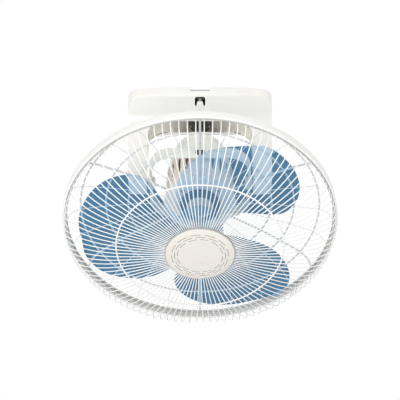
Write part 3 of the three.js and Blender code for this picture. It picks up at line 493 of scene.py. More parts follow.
def baseSolid(inset):
    # the base's plan, side and front outlines crossed; an inset gives the hollow inside
    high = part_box("yoke_base")[1]
    halfX = high.x - inset
    halfY = high.y - inset
    top = through if inset else 0
    foot = pivot.z - base["legDepth"] / 2 + inset
    leg = base["legDepth"] / 2 - inset
    slope = slopeUnder()
    lift = base["wall"] * (1 + slope * slope) ** 0.5 if inset else 0
    height = lambda y: -base["skirt"] - (high.y - y) * slope + lift
    side = [(halfY, top), (-halfY, top), (-halfY, height(halfY)), (-leg, height(leg)), (-leg, foot),
            (leg, foot), (leg, height(leg)), (halfY, height(halfY))]
    sideRounds = [(2, base["skirtRound"]), (3, base["fillet"]), (4, leg * base["footRound"]),
                  (5, leg * base["footRound"]), (6, base["fillet"]), (7, base["skirtRound"])]
    arch = base["archHalf"] + inset
    archTop = inset - base["drop"]
    archRound = base["archCorner"] + inset
    legOut = base["legHalf"] - inset
    front = [(halfX, top), (-halfX, top), (-halfX, -base["skirt"]), (-legOut, foot), (-arch, foot),
             (-arch, archTop), (arch, archTop), (arch, foot), (legOut, foot), (halfX, -base["skirt"])]
    frontRounds = [(3, base["legCorner"]), (5, archRound), (6, archRound), (8, base["legCorner"])]
    form = basePlan(inset, foot - through, top)
    form = carve(form, prism(side, -across, across, sideRounds, faceSide), "INTERSECT")
    return carve(form, prism(front, -across, across, frontRounds, faceFront), "INTERSECT")


def archChannel(grown=0.0):
    # the underside of the yoke is a channel between two rims, which fades out down the legs
    reach = channel["deep"] + grown
    out = base["archHalf"] + reach
    inside = base["archHalf"] - channel["inner"]
    roof = reach - base["drop"]
    mouth = -base["drop"] - channel["mouth"]
    end = channel["end"] + grown
    points = [(-inside, -end), (-out, -channel["foot"]), (-out, roof), (out, roof), (out, -channel["foot"]),
              (inside, -end), (inside, mouth), (-inside, mouth)]
    corner = base["archCorner"] + reach
    depth = base["legDepth"] / 2 - channel["rim"] + grown * channel["rimGrows"]
    return prism(points, -depth, depth, [(2, corner), (3, corner)], faceFront)


def screwTongue():
    # the tapered tongue over the front screw, cut to follow the base's sloping underside
    low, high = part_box("base_screw_front")
    middle = (low.y + high.y) / 2
    front = middle - tongue["front"]
    back = middle + tongue["back"]
    half = tongue["tip"] / 2
    root = tongue["root"] / 2
    plan = [(root, back), (-root, back), (-half, front), (half, front)]
    bend = half * tongue["tipRound"]
    form = prism(plan, low.z - tongue["high"], low.z - tongue["gap"], [(2, bend), (3, bend)])
    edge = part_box("yoke_base")[1].y
    outline = lambda y: -base["skirt"] - (edge + y) * slopeUnder()
    start = front - through
    keep = [(start, low.z), (start, outline(start) - tongue["proud"]),
            (back, outline(back) - tongue["proud"] / 2), (back, low.z)]
    side = prism(keep, -tongue["root"], tongue["root"], (), faceSide)
    return softened(carve(form, side, "INTERSECT"), tongue["edge"], 2)


def yokeBase():
    low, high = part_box("yoke_base")
    form = softened(baseSolid(0), base["edge"], 4, 50)
    tray = carve(form.copy(), archChannel(base["wall"]), "INTERSECT")
    # the inside faces and the channel's tray take finish 1, the shell's inside painted near-black as painted
    # shade
    form = carve(form, baseSolid(base["wall"]), finish=1)
    form = carve(form, tray, "UNION", finish=1)
    half = base["notch"] / 2
    notch = box((-half, low.y - past, -base["notchHigh"]), (half, low.y + base["notchDeep"], past))
    form = carve(form, notch)
    half = base["pocket"] / 2
    y = -high.y + base["wall"] + base["pocketFront"]
    plan = [(half, y + base["pocketLong"]), (-half, y + base["pocketLong"]), (-half, y), (half, y)]
    form = carve(form, prism(plan, base["pocketFloor"], base["pocketRoof"], [(2, half / 2), (3, half / 2)]))
    # the channel's cut faces take finish 2, the painted shade that darkens towards the crank
    form = carve(form, archChannel(), finish=2)
    pinLow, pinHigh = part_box("yoke_pin_right")
    screwLow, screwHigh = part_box("base_screw_right")
    head = (pinHigh.z - pinLow.z) / 2 + touchGap
    for sign in (-1, 1):
        facing = Matrix.Translation((0, 0, pivot.z)) @ onAxis("X", sign)
        boss = rod(head + pinSeat["wall"], base["archHalf"] + pinSeat["inset"],
                   base["legHalf"] - pinSeat["inset"], facing)
        form = carve(form, boss, "UNION")
        form = carve(form, rod(pinSeat["bore"], base["archHalf"] - past, high.x, facing))
        form = carve(form, rod(head, pinHigh.x - pinSeat["headDeep"], high.x + past, facing))
        facing = Matrix.Translation((0, 0, (screwLow.z + screwHigh.z) / 2)) @ onAxis("X", sign)
        form = carve(form, rod(screwSeat["sink"], high.x - screwSeat["sinkDeep"], high.x + past, facing))
        form = carve(form, rod(screwSeat["bore"], high.x - screwSeat["boreDeep"], high.x + past, facing))
    settle(merged(form, screwTongue()), "yoke_shell", "base", "shell_white", ["yoke_base"], sharp=32,
           more=("shell_inside_painted_shade", "channel_shade"))


yokeBase()
print("base and yoke made")

plate = {"hole": 0.003, "holeX": 0.085, "holeY": 0.038, "cable": 0.011, "cableY": 0.034, "sink": 0.0015,
         "gap": 0.0005, "thick": 0.0025, "notchDeep": 0.005, "post": 0.0061, "tab": 0.009, "tabHalf": 0.008,
         "tabFoot": -0.0125, "tabEdge": 0.0005, "lap": 0.0001, "edge": 0.0003}


def ceilingPlate():
    low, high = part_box("ceiling_plate")
    form = basePlan(base["wall"] + plate["gap"], -plate["thick"], 0)
    half = base["notch"] / 2
    notch = box((-half, -high.y - through, -through), (half, plate["notchDeep"] - high.y, through))
    form = carve(form, notch)
    sink = plate["sink"]
    for x in (-plate["holeX"], plate["holeX"]):
        for y in (-plate["holeY"], plate["holeY"]):
            place = Matrix.Translation((x, y, 0))
            form = carve(form, rod(plate["hole"], -through, through, place))
            cone = rod(plate["hole"], -sink, sink, place @ Matrix.Rotation(pi, 4, "X"),
                       tip=plate["hole"] + 2 * sink)
            form = carve(form, cone)
    form = carve(form, rod(plate["cable"], -through, through, Matrix.Translation((0, plate["cableY"], 0))))
    screwLow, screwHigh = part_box("base_screw_front")
    middle = (screwLow + screwHigh) / 2
    under = plate["lap"] - plate["thick"]
    post = rod(plate["post"], low.z + plate["lap"], under, Matrix.Translation((middle.x, middle.y, 0)))
    tabs = []
    for sign in (-1, 1):
        near, far = sorted((sign * high.x, sign * (high.x - plate["tab"])))
        tabs.append(box((near, -plate["tabHalf"], plate["tabFoot"]), (far, plate["tabHalf"], under),
                        plate["tabEdge"]))
    settle(merged(form, post, *tabs), "ceiling_bracket", "base", "plated_steel", ["ceiling_plate"],
           edge=plate["edge"])


ceilingPlate()

# a screw's shape in shares of its head's radius and height
screw = {"crown": 0.92, "shoulder": 0.7, "flat": 0.55, "edge": 0.12, "slotLong": 0.55, "slotHalf": 0.11,
         "slotFloor": 0.35}


def screwForm(headRadius, headHeight, shank, length, recess=True):
    form = turned([(0, -length), (shank, -length), (shank, 0), (headRadius, 0),
                   (headRadius * screw["crown"], headHeight * screw["shoulder"]),
                   (headRadius * screw["flat"], headHeight), (0, headHeight)],
                  min(headHeight, shank) * screw["edge"], 32, segments=2)
    if recess:
        arm = headRadius * screw["slotLong"]
        half = headRadius * screw["slotHalf"]
        for x, y in ((arm, half), (half, arm)):
            form = carve(form, box((-x, -y, headHeight * screw["slotFloor"]), (x, y, headHeight * 2)))
    return form


def fasteners(name, body, slot, nodes, axis, signs, space, shank, headHeight, recess=True):
    # each screw or pin takes its place and size from its solid
    forms = []
    for node, sign in zip(nodes, signs):
        low, high = span(node, space)
        order = "XYZ".index(axis)
        size = high - low
        wide = max(size[i] for i in range(3) if i != order)
        middle = (low + high) / 2
        middle[order] = (high if sign > 0 else low)[order] - sign * headHeight
        form = screwForm(wide / 2, headHeight, shank, size[order] - headHeight, recess)
        bmesh.ops.transform(form, matrix=Matrix.Translation(middle) @ onAxis(axis, sign), verts=form.verts)
        forms.append(form)
    settle(merged(*forms), name, body, slot, nodes, space)


def bushes(name, body, nodes, axis, bore=0.0044, edge=0.0004):
    forms = []
    for node in nodes:
        low, high = span(node, headFrame)
        order = "XYZ".index(axis)
        outer = max((high - low)[i] for i in range(3) if i != order) / 2
        form = tube(bore, outer, low[order], high[order], edge, 64)
        middle = (low + high) / 2
        middle[order] = 0
        bmesh.ops.transform(form, matrix=Matrix.Translation(middle) @ onAxis(axis), verts=form.verts)
        forms.append(form)
    settle(merged(*forms), name, body, "black_nylon", nodes, headFrame)


# solids, axis, the way each head faces, frame, shank radius, head height and cross recess of each set
fasteners("base_screws", "base", "plated_steel",
          ["base_screw_left", "base_screw_right"], "X", (-1, 1), baseFrame, 0.002, 0.00095)
fasteners("base_tongue_screw", "base", "plated_steel",
          ["base_screw_front"], "Z", (-1,), baseFrame, 0.002, 0.002)
fasteners("yoke_pins", "base", "dark_steel",
          ["yoke_pin_left", "yoke_pin_right"], "X", (-1, 1), baseFrame, 0.004, 0.0032)
fasteners("ring_pins", "ring", "dark_steel",
          ["ring_pin_front", "ring_pin_back"], "Y", (-1, 1), headFrame, 0.004, 0.0032)
fasteners("dome_screws", "head", "plated_steel",
          ["dome_screw_left", "dome_screw_right"], "Z", (1, 1), headFrame, 0.0013, 0.0015)
fasteners("motor_bolts", "head", "plated_steel",
          [f"motor_bolt_{i}" for i in (1, 2, 3, 4)], "Z", (-1,) * 4, headFrame, 0.002, 0.002)
fasteners("crank_screw_head", "crank", "plated_steel",
          ["crank_screw"], "Z", (1,), headFrame, 0.002, 0.002)
fasteners("socket_screws", "base", "plated_steel",
          ["socket_screw_left", "socket_screw_right"], "Z", (1, 1), baseFrame, 0.0013, 0.0015, False)
bushes("ring_bushes", "ring", ["ring_bush_left", "ring_bush_right"], "X")
bushes("motor_bushes", "head", ["motor_bush_front", "motor_bush_back"], "Y")
print("screws, pins and bushes made")

ring = {"corner": 0.036, "wall": 0.0045, "half": 0.012, "boss": 0.011, "bossIn": 0.076, "bossProud": 0.003,
        "bossEdge": 0.0008, "edge": 0.0016, "bore": 0.0073, "pinBore": 0.0043}


def gimbalRing():
    high = span("gimbal_ring", headFrame)[1]
    halfX = high.x - ring["bossProud"]
    halfY = high.y

    def band(inset, reach):
        form = box((-halfX + inset, -halfY + inset, -reach), (halfX - inset, halfY - inset, reach))
        return rounded(form, edgesAlong(form, 2, ring["half"]), ring["corner"] - inset, 16)

    form = carve(band(0, ring["half"]), band(ring["wall"], ring["half"] + through))
    form = softened(form, ring["edge"], 3, 50)
    for sign in (-1, 1):
        boss = rod(ring["boss"], ring["bossIn"], high.x, onAxis("X", sign))
        form = carve(form, softened(boss, ring["bossEdge"], 2), "UNION")
    for sign in (-1, 1):
        form = carve(form, rod(ring["bore"], ring["bossIn"] - past, high.x + past, onAxis("X", sign)))
        form = carve(form, rod(ring["pinBore"], halfY - through, halfY + through, onAxis("Y", sign)))
    settle(form, "gimbal_band", "ring", "ring_white", ["gimbal_ring"], headFrame)


gimbalRing()
print("gimbal ring made")

motor = {"front": 0.0575, "frontW": -0.03, "waist": 0.0563, "waistW": 0.018, "rear": 0.05, "rearW": 0.064,
         "wall": 0.0025, "shoulder": 0.006, "flare": 0.0002, "seam": 0.0012, "seamDeep": 0.0006,
         "edge": 0.0008}
vent = {"count": 24, "wide": 0.005, "low": -0.025, "high": 0.012, "inner": 0.0504, "outer": 0.06,
        "endRound": 0.49, "bossClear": 0.0177}
motorBoss = {"radius": 0.01, "inner": 0.052, "outer": 0.0613, "edge": 0.0005, "boreIn": 0.045}
cover = {"front": -0.05, "neck": 0.022, "shaft": 0.0055, "flat": 0.047, "flatIn": 0.0458, "wall": 0.0025,
         "bend": 0.006, "edge": 0.0012}
dome = {"wall": 0.002, "lip": 0.0007, "lipHigh": 0.0045, "lipTop": 0.0052, "bend": 0.0095, "dish": 0.009,
        "dishIn": 0.0075, "dishDeep": 0.0006, "roofIn": 0.012, "cornerIn": (0.0035, 0.009), "shaft": 0.0042,
        "screwX": 0.03, "screwBore": 0.0016}


def motorHousing():
    wall = motor["wall"]
    shoulder = motor["shoulder"]
    seam = motor["seam"]
    form = turned([
        (0, motor["rearW"] - wall), (motor["rear"] - shoulder, motor["rearW"] - wall),
        (motor["rear"] - wall, motor["rearW"] - shoulder), (motor["waist"] - wall, motor["waistW"]),
        (motor["front"] - wall, motor["frontW"]), (motor["front"], motor["frontW"]),
        (motor["waist"] + motor["flare"], motor["waistW"] - seam),
        (motor["waist"] - motor["seamDeep"], motor["waistW"]), (motor["waist"], motor["waistW"] + seam),
        (motor["rear"], motor["rearW"] - shoulder),
        (motor["rear"] - shoulder / 3, motor["rearW"] - shoulder / 3),
        (motor["rear"] - shoulder, motor["rearW"]), (0, motor["rearW"])], motor["edge"], 144)
    slots = []
    for order in range(vent["count"]):
        angle = (order + 0.5) * 2 * pi / vent["count"]
        if abs(cos(angle)) * motor["rear"] > vent["bossClear"]:
            slot = box((vent["inner"], -vent["wide"] / 2, vent["low"]),
                       (vent["outer"], vent["wide"] / 2, vent["high"]))
            rounded(slot, edgesAlong(slot, 0, vent["wide"]), vent["wide"] * vent["endRound"], 4)
            slots.append(swung(slot, angle))
    form = carve(form, merged(*slots))
    for sign in (-1, 1):
        facing = onAxis("Y", sign)
        boss = rod(motorBoss["radius"], motorBoss["inner"], motorBoss["outer"], facing)
        form = carve(form, softened(boss, motorBoss["edge"], 2), "UNION")
        form = carve(form, rod(ring["bore"], motorBoss["boreIn"], motorBoss["outer"] + past, facing))
    for face in form.faces:  # behind the seam the bell is white like the dome
        face.material_index = face.calc_center_median().z > motor["waistW"]
    settle(form, "motor_bell", "head", "motor_enamel", ["motor_housing"], headFrame, more=["ring_white"])


def motorCover():
    low, high = span("motor_front_cover", headFrame)
    front = cover["front"]
    wall = cover["wall"]
    bend = front + cover["bend"]
    side = front + 2 * cover["bend"]
    outer = motor["front"]
    form = turned([
        (cover["shaft"], low.z), (cover["neck"], low.z), (cover["neck"], front), (cover["flat"], front),
        (outer - wall, bend), (outer, side), (outer, high.z), (outer - wall, high.z), (outer - wall, side),
        (outer - 2 * wall, bend), (cover["flatIn"], front + wall), (cover["shaft"], front + wall)],
        cover["edge"], 144, True)
    settle(form, "motor_nose", "head", "motor_enamel", ["motor_front_cover"], headFrame)


def motorDome():
    low, high = span("motor_dome", headFrame)
    radius = high.y
    foot = low.z
    top = high.z
    wall = dome["wall"]
    side = radius - dome["lip"]
    bend = dome["bend"]
    steps = 10
    outline = [(radius - wall, foot), (radius, foot), (radius, foot + dome["lipHigh"]),
               (side, foot + dome["lipTop"])]
    outline += [(side - bend + bend * cos(pi / 2 * i / steps), top - bend + bend * sin(pi / 2 * i / steps))
                for i in range(steps + 1)]
    outline += [(dome["dish"], top), (dome["dishIn"], top - dome["dishDeep"]),
                (dome["shaft"], top - dome["dishDeep"]), (dome["shaft"], top - wall),
                (radius - dome["roofIn"], top - wall),
                (radius - dome["cornerIn"][0], top - dome["cornerIn"][1])]
    form = turned(outline, 0.0, 128, True)
    for x in (-dome["screwX"], dome["screwX"]):
        form = carve(form, rod(dome["screwBore"], foot, top + past, Matrix.Translation((x, 0, 0)), 24))
    settle(form, "rear_dome", "head", "ring_white", ["motor_dome"], headFrame, sharp=40)


motorHousing()
motorCover()
motorDome()
print("motor made")

crank = {"endLess": 0.001, "edge": 0.0008, "pin": 0.003, "pinEdge": 0.0006, "rollerIn": 0.0034,
         "roller": 0.0065, "spindle": 0.0035, "spindleEdge": 0.0004}
socket = {"inner": 0.008, "outer": 0.012, "flange": 0.0195, "edge": 0.0006}


def crankArm():
    # a hub and an end with a hull drawn round them
    low, high = span("crank_arm", headFrame)
    end = high.x - crank["endLess"]
    form = bmesh.new()
    for radius, y in ((high.x, 0), (end, low.y + end)):
        bmesh.ops.create_cone(form, cap_ends=True, segments=48, radius1=radius, radius2=radius,
                              depth=high.z - low.z, matrix=Matrix.Translation((0, y, (low.z + high.z) / 2)))
    hull = bmesh.ops.convex_hull(form, input=form.verts[:])
    spare = [item for item in hull["geom_interior"] + hull["geom_unused"]
             if isinstance(item, bmesh.types.BMVert)]
    bmesh.ops.delete(form, geom=list(set(spare)), context="VERTS")
    bmesh.ops.dissolve_limit(form, angle_limit=radians(1), verts=form.verts, edges=form.edges)
    form = softened(form, crank["edge"], 3, 50)
    settle(form, "crank_lever", "crank", "pale_nylon", ["crank_arm"], headFrame)


def crankParts():
    crankArm()
    low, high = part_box("crank_pin")
    pin = tube(0, crank["pin"], low.z, high.z, crank["pinEdge"], 48)
    settle(pin, "crank_pin_round", "crank", "plated_steel", ["crank_pin"])
    low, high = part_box("crank_roller")
    roller = tube(crank["rollerIn"], crank["roller"], low.z, high.z, crank["edge"], 64)
    settle(roller, "crank_roller_round", "crank", "black_nylon", ["crank_roller"])
    low, high = span("swing_shaft", headFrame)
    spindle = tube(0, crank["spindle"], low.z, high.z, crank["spindleEdge"], 48)
    settle(spindle, "swing_spindle", "crank", "plated_steel", ["swing_shaft"], headFrame)
    low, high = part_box("crank_socket")
    seat = base["wall"] + touchGap - base["drop"]
    cup = turned([(0, seat), (socket["inner"], seat), (socket["inner"], low.z), (socket["outer"], low.z),
                  (socket["outer"], seat), (socket["flange"], seat), (socket["flange"], high.z), (0, high.z)],
                 socket["edge"], 96)
    settle(cup, "socket_cup", "base", "black_nylon", ["crank_socket"])


crankParts()
print("crank made")

# each edge of a blade runs from root to tip in (share of the radius, degrees round the hub)
blades = {"radius": 0.196, "hub": 0.038, "middle": -0.1175, "pitch": 0.035, "untwist": 0.3, "camber": 0.005,
          "rootCamber": 0.0015, "thick": 0.0022, "edgeRound": 0.4, "first": 10, "count": 3, "sink": 0.002,
          "acrossSteps": 26, "outSteps": 44,
          "straight": ((0.19, 24), (0.31, 15), (0.43, 8), (0.56, 2.5), (0.68, 1), (0.79, 6), (0.88, 14),
                       (0.95, 25), (0.99, 38), (1, 46)),
          "round": ((0.19, 122), (0.29, 114), (0.41, 107), (0.52, 102), (0.65, 95.5), (0.77, 88),
                    (0.87, 80.5), (0.935, 74), (0.97, 67.5), (0.985, 61))}
hub = {"front": -0.13, "back": -0.098, "wall": 0.003, "corner": 0.004, "shaft": 0.0045, "sleeve": 0.011,
       "edge": 0.0008}
nutSize = {"flat": 0.009, "radius": 0.015, "taper": 0.0043, "shaft": 0.0045, "cap": 0.0025, "edge": 0.0008}


def along(points, share):
    # a smooth curve through the points
    reach = share * (len(points) - 1)
    at = min(int(reach), len(points) - 2)
    t = reach - at
    a, b, c, d = (Vector(points[max(0, min(i, len(points) - 1))]) for i in (at - 1, at, at + 1, at + 2))
    first = (c - a) / 2
    last = (d - b) / 2
    return ((2 * b - 2 * c + first + last) * t ** 3 + (3 * c - 3 * b - 2 * first - last) * t ** 2
            + first * t + b)


def repeated(form, count, first=0.0):
    swung(form, first)
    bmesh.ops.spin(form, geom=allOf(form), cent=(0, 0, 0), axis=(0, 0, 1), angle=2 * pi * (count - 1) / count,
                   steps=count - 1, use_duplicate=True)
    return form


def oneBlade():
    # a grid laid between the blade's two edges, pitched and cambered, then given its thickness
    form = bmesh.new()
    bmesh.ops.create_grid(form, x_segments=blades["acrossSteps"], y_segments=blades["outSteps"], size=0.5)
    for vertex in form.verts:
        wide = vertex.co.x + 0.5
        out = vertex.co.y + 0.5
        share, angle = along(blades["straight"], out).lerp(along(blades["round"], out), wide)
        radius = max(share * blades["radius"], blades["hub"] - blades["sink"])
        turn = radians(angle + blades["first"])
        camber = blades["rootCamber"] + (blades["camber"] - blades["rootCamber"]) * out
        pitch = blades["pitch"] * (1 - blades["untwist"] * out)
        height = blades["middle"] + (0.5 - wide) * pitch + camber * 4 * wide * (1 - wide)
        vertex.co = (radius * cos(turn), -radius * sin(turn), height)
    bmesh.ops.recalc_face_normals(form, faces=form.faces)
    bmesh.ops.solidify(form, geom=form.faces[:], thickness=blades["thick"])
    bmesh.ops.recalc_face_normals(form, faces=form.faces)
    return softened(form, blades["thick"] * blades["edgeRound"], 3, 60)


def bladeSet():
    outer = blades["hub"]
    inner = outer - hub["wall"]
    floor = hub["front"] + hub["wall"]
    boss = turned([
        (hub["shaft"], hub["front"]), (outer - hub["corner"], hub["front"]),
        (outer, hub["front"] + hub["corner"]), (outer, hub["back"]), (inner, hub["back"]), (inner, floor),
        (hub["sleeve"], floor), (hub["sleeve"], hub["back"]), (hub["shaft"], hub["back"])],
        hub["edge"], 96, True)
    form = merged(repeated(oneBlade(), blades["count"]), boss)
    settle(form, "blades", "rotor", "blade_blue", ["blade_set"], headFrame)
    low, high = span("blade_nut", headFrame)
    roof = low.z + nutSize["cap"]
    radius = nutSize["radius"]
    shaft = nutSize["shaft"]
    nut = turned([(0, low.z), (nutSize["flat"], low.z), (radius, low.z + nutSize["taper"]), (radius, high.z),
                  (shaft, high.z), (shaft, roof), (0, roof)], nutSize["edge"], 64)
    settle(nut, "spinner_nut", "rotor", "blade_blue", ["blade_nut"], headFrame)


bladeSet()
print("blades made")

# outlines and rings of the cage are (radius, height along the motor's axis)
guard = {"frontWires": 108, "rearPlaces": 24, "braces": 6, "wire": 0.0009, "fine": 0.0007, "ringWire": 0.0013,
         "rearWire": 0.0015, "rim": 0.002, "brace": 0.0018, "braceLift": 0.0006, "rimRadius": 0.2185,
         "frontRim": -0.102, "rearRim": -0.093,
         "front": ((0.2185, -0.102), (0.22, -0.114), (0.213, -0.127), (0.182, -0.145), (0.134, -0.158),
                   (0.05, -0.1685)),
         "rear": ((0.057, -0.0513), (0.119, -0.0535), (0.156, -0.0585), (0.197, -0.066), (0.213, -0.077),
                  (0.2185, -0.093)),
         "frontRings": ((0.134, -0.158), (0.05, -0.1685)),
         "rearRings": ((0.119, -0.0535), (0.156, -0.0585), (0.197, -0.066))}
backPlate = {"inner": 0.0226, "outer": 0.06, "front": -0.0523, "back": -0.0503, "edge": 0.0005}
lock = {"inner": 0.0223, "outer": 0.033, "edge": 0.001, "ribs": 36, "ribIn": 0.0322, "ribOut": 0.0333,
        "ribHalf": 0.0008, "ribEdge": 0.0003}


def radialWire(points, radius, sides, steps, lift=0.0):
    form = bmesh.new()
    path = [along(points, i / steps) for i in range(steps + 1)]
    path = [Vector((place[0], 0, place[1] + lift)) for place in path]
    sideways = Vector((0, 1, 0))
    last = None
    for i, place in enumerate(path):
        ahead = (path[min(i + 1, steps)] - path[max(i - 1, 0)]).normalized()
        turn = Matrix((sideways, ahead.cross(sideways), ahead)).transposed().to_4x4()
        circle = bmesh.ops.create_circle(form, segments=sides, radius=radius, cap_ends=i in (0, steps),
                                         matrix=Matrix.Translation(place) @ turn)["verts"]
        edges = [edge for edge in form.edges if edge.verts[0] in circle and edge.verts[1] in circle]
        if last:
            bmesh.ops.bridge_loops(form, edges=last + edges)
        last = edges
    bmesh.ops.recalc_face_normals(form, faces=form.faces)
    return form


def hoopWire(radius, height, thick, sides=8, steps=180):
    form = bmesh.new()
    bmesh.ops.create_circle(form, segments=sides, radius=thick, cap_ends=False,
                            matrix=Matrix.Translation((radius, 0, height)) @ faceFront)
    return spunFull(form, steps)


def finished(form, number):
    for face in form.faces:
        face.material_index = number
    return form


def frontGuard():
    wires = radialWire(guard["front"], guard["wire"], 6, 14)
    rim = hoopWire(guard["rimRadius"], guard["frontRim"], guard["rim"])
    forms = [repeated(wires, guard["frontWires"], pi / guard["frontWires"])]
    forms += [hoopWire(radius, height, guard["ringWire"]) for radius, height in guard["frontRings"]]
    # the front rim takes finish 1, the white enamel greyed as painted shade
    forms.append(finished(rim, 1))
    settle(merged(*forms), "front_grille", "head", "guard_white", ["front_guard"], headFrame, sharp=60,
           more=["guard_rim_painted_shade"])


def rearGuard():
    # six stout braces and three rings, with three fine wires between each two braces
    forms = [tube(backPlate["inner"], backPlate["outer"], backPlate["front"], backPlate["back"],
                  backPlate["edge"], 96)]
    braces = guard["braces"]
    first = pi / braces
    step = 2 * pi / guard["rearPlaces"]
    for place in range(1, guard["rearPlaces"] // braces):
        forms.append(repeated(radialWire(guard["rear"], guard["fine"], 6, 12), braces, first + place * step))
    stout = radialWire(guard["rear"], guard["brace"], 8, 16, guard["braceLift"])
    # the braces and rings take finish 1 and the rear rim finish 2, the white enamel greyed as painted shade
    forms.append(finished(repeated(stout, braces, first), 1))
    for radius, height in guard["rearRings"]:
        forms.append(finished(hoopWire(radius, height, guard["rearWire"]), 1))
    forms.append(finished(hoopWire(guard["rimRadius"], guard["rearRim"], guard["rim"]), 2))
    settle(merged(*forms), "rear_grille", "head", "guard_white", ["rear_guard"], headFrame, sharp=60,
           more=["guard_ring_painted_shade", "guard_rim_painted_shade"])


def lockNut():
    low, high = span("guard_lock_nut", headFrame)
    edge = lock["edge"]
    nut = tube(lock["inner"], lock["outer"], low.z, high.z, edge, 96)
    rib = box((lock["ribIn"], -lock["ribHalf"], low.z + edge),
              (lock["ribOut"], lock["ribHalf"], high.z - edge), lock["ribEdge"], 1)
    form = merged(nut, repeated(rib, lock["ribs"]))
    settle(form, "lock_nut", "head", "black_nylon", ["guard_lock_nut"], headFrame)


frontGuard()
rearGuard()
lockNut()
print("guards made")

hoop = {"inner": 0.2208, "outer": 0.2242, "low": -0.1052, "high": -0.0898, "edge": 0.0011, "angle": 45,
        "slot": 0.003, "lugTall": 0.006, "lugThick": 0.0035, "lugWide": 0.011, "lugSink": 0.0012,
        "lugEdge": 0.0008, "nut": 0.0029, "nutEdge": 0.0003}


def guardHoop():
    # a rounded strip bent round the two rims, open at the lugs
    turn = radians(hoop["angle"])
    gap = hoop["slot"] / hoop["outer"]
    middle = (hoop["low"] + hoop["high"]) / 2
    form, corners = outlined([(hoop["inner"], 0, hoop["low"]), (hoop["outer"], 0, hoop["low"]),
                              (hoop["outer"], 0, hoop["high"]), (hoop["inner"], 0, hoop["high"])])
    form.edges.new((corners[-1], corners[0]))
    rounded(form, corners, hoop["edge"], 4, "VERTICES")
    bmesh.ops.contextual_create(form, geom=form.edges[:])
    swung(form, turn + gap / 2)
    bmesh.ops.spin(form, geom=allOf(form), cent=(0, 0, 0), axis=(0, 0, 1), angle=2 * pi - gap, steps=240)
    bmesh.ops.recalc_face_normals(form, faces=form.faces)
    lugs = []
    for sign in (-1, 1):
        near, far = sorted((sign * hoop["slot"] / 2, sign * (hoop["slot"] / 2 + hoop["lugThick"])))
        lug = box((hoop["inner"] + hoop["lugSink"], near, middle - hoop["lugWide"] / 2),
                  (hoop["outer"] + hoop["lugTall"], far, middle + hoop["lugWide"] / 2), hoop["lugEdge"])
        lugs.append(swung(lug, turn))
    settle(merged(form, *lugs), "clamp_hoop", "head", "guard_white", ["guard_hoop"], headFrame, sharp=50)
    jointFrame = headFrame @ Matrix.Rotation(turn, 4, "Z")
    fasteners("hoop_bolt", "head", "dark_steel", ["hoop_screw"], "Y", (1,), jointFrame, 0.002, 0.002)
    low, high = span("hoop_nut", jointFrame)
    middle = (low + high) / 2
    nut = shifted(rod(hoop["nut"], low.y, high.y, onAxis("Y"), 6), middle.x, 0, middle.z)
    settle(softened(nut, hoop["nutEdge"], 2), "hoop_bolt_nut", "head", "dark_steel", ["hoop_nut"], jointFrame)


guardHoop()

cap = {"radius": 0.056, "rise": 0.0065, "wall": 0.002, "spigot": 0.0481, "crown": 0.93, "edgeRise": 0.0022,
       "edge": ((0.955, 0.0024), (0.985, 0.0019), (1, 0.001))}


def guardCap():
    low, high = span("guard_cap", headFrame)
    back = low.z + cap["rise"]
    radius = cap["radius"]
    spigot = cap["spigot"]
    steps = 10
    outline = [(0, low.z)]
    for i in range(1, steps):
        turn = pi / 2 * i / steps
        outline.append((radius * cap["crown"] * sin(turn),
                        back - cap["edgeRise"] - (cap["rise"] - cap["edgeRise"]) * cos(turn) ** 0.8))
    outline += [(radius * share, back - rise) for share, rise in cap["edge"]]
    outline += [(radius, back), (spigot, back), (spigot, high.z), (spigot - cap["wall"], high.z),
                (spigot - cap["wall"], back), (0, back - cap["wall"])]
    settle(turned(outline, 0.0, 144), "centre_cap", "head", "cap_grey", ["guard_cap"], headFrame, sharp=50)


guardCap()
print("hoop and cap made")

# solids that stay: each takes the finish of its material slot
slots = {row["node"]: row["material_slot"] for row in frame["record"]["subparts"]}
for node, item in frame["nodes"].items():
    if node not in done:
        item.data.materials.clear()
        item.data.materials.append(paints[slots[node]].material)
print("solids dressed:", len(frame["nodes"]) - len(done))

studio = {"floor": -2.3, "reach": 30, "glow": 0.3, "ambient": 0.68, "glass": 0.03,
          "camera": (0, -1.648, -1.303), "look": (0, 0.829, 0.559), "lens": 106.5}
lamps = {"key": {"place": (-0.8, -2.1, -1.7), "target": (0, 0, -0.15), "size": 1.5, "power": 34},
         "fill": {"place": (1.9, -1.9, 0.2), "target": (0, 0, -0.2), "size": 1.4, "power": 9},
         "back": {"place": (0.6, 2.6, 0.7), "target": (0, 0, -0.15), "size": 1.6, "power": 18}}


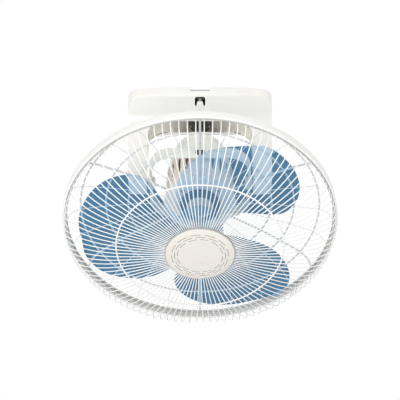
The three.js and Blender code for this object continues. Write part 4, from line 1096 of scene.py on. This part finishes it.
def world():
    # an even room light, and a white ground for what the camera, gloss and clear pieces see
    sky = bpy.data.worlds.new("studio")
    sky.use_nodes = True
    scene.world = sky
    tree = sky.node_tree
    tree.nodes.clear()
    rays = addNode(tree, "ShaderNodeLightPath", {}, {}).outputs
    seen = rays["Is Camera Ray"]
    for kind in ("Is Glossy Ray", "Is Transmission Ray"):
        seen = addNode(tree, "ShaderNodeMath", {"operation": "MAXIMUM"}, {0: seen, 1: rays[kind]}).outputs[0]
    behind = addNode(tree, "ShaderNodeMath", {"operation": "GREATER_THAN"}, {
        0: rays["Transparent Depth"], 1: 0.5}).outputs[0]
    ground = addNode(tree, "ShaderNodeMapRange", {}, {  # behind clear plastic the ground is dim
        "Value": behind, "To Min": 1, "To Max": studio["glass"]}).outputs[0]
    white = (1, 1, 1, 1)
    light = addNode(tree, "ShaderNodeBackground", {}, {"Color": white, "Strength": studio["ambient"]})
    backdrop = addNode(tree, "ShaderNodeBackground", {}, {"Color": white, "Strength": ground})
    mix = addNode(tree, "ShaderNodeMixShader", {}, {0: seen, 1: light.outputs[0], 2: backdrop.outputs[0]})
    addNode(tree, "ShaderNodeOutputWorld", {}, {"Surface": mix.outputs[0]})


def floor():
    form = bmesh.new()
    bmesh.ops.create_grid(form, x_segments=1, y_segments=1, size=studio["reach"])
    shifted(form, 0, 0, studio["floor"])
    mesh = meshOf(form, "floor")
    paint = Paint("floorPale", (0.9, 0.9, 0.9), Roughness=0.8, Emission_Strength=studio["glow"])
    path = paint.add("ShaderNodeLightPath", {}, {})
    paint.feed("Emission Color", paint.tint(path.outputs["Is Camera Ray"], (0, 0, 0), (1, 1, 1)))
    mesh.materials.append(paint.material)
    placed("floor", mesh)


def lamp(name, place, target, size, power):
    light = bpy.data.lights.new(name, "AREA")
    light.size = size
    light.energy = power
    item = placed(name, light)
    item.location = place
    item.rotation_euler = (Vector(target) - Vector(place)).to_track_quat("-Z", "Y").to_euler()


def cameraView():
    view = bpy.data.cameras.new("view")
    view.lens = studio["lens"]
    view.clip_start = 0.05
    view.clip_end = 100
    camera = placed("view", view)
    camera.location = studio["camera"]
    camera.rotation_euler = Vector(studio["look"]).to_track_quat("-Z", "Y").to_euler()
    scene.camera = camera


world()
floor()
for name, settings in lamps.items():
    lamp(name, **settings)
cameraView()
scene.view_settings.view_transform = "Standard"
print("floor, light and camera set")
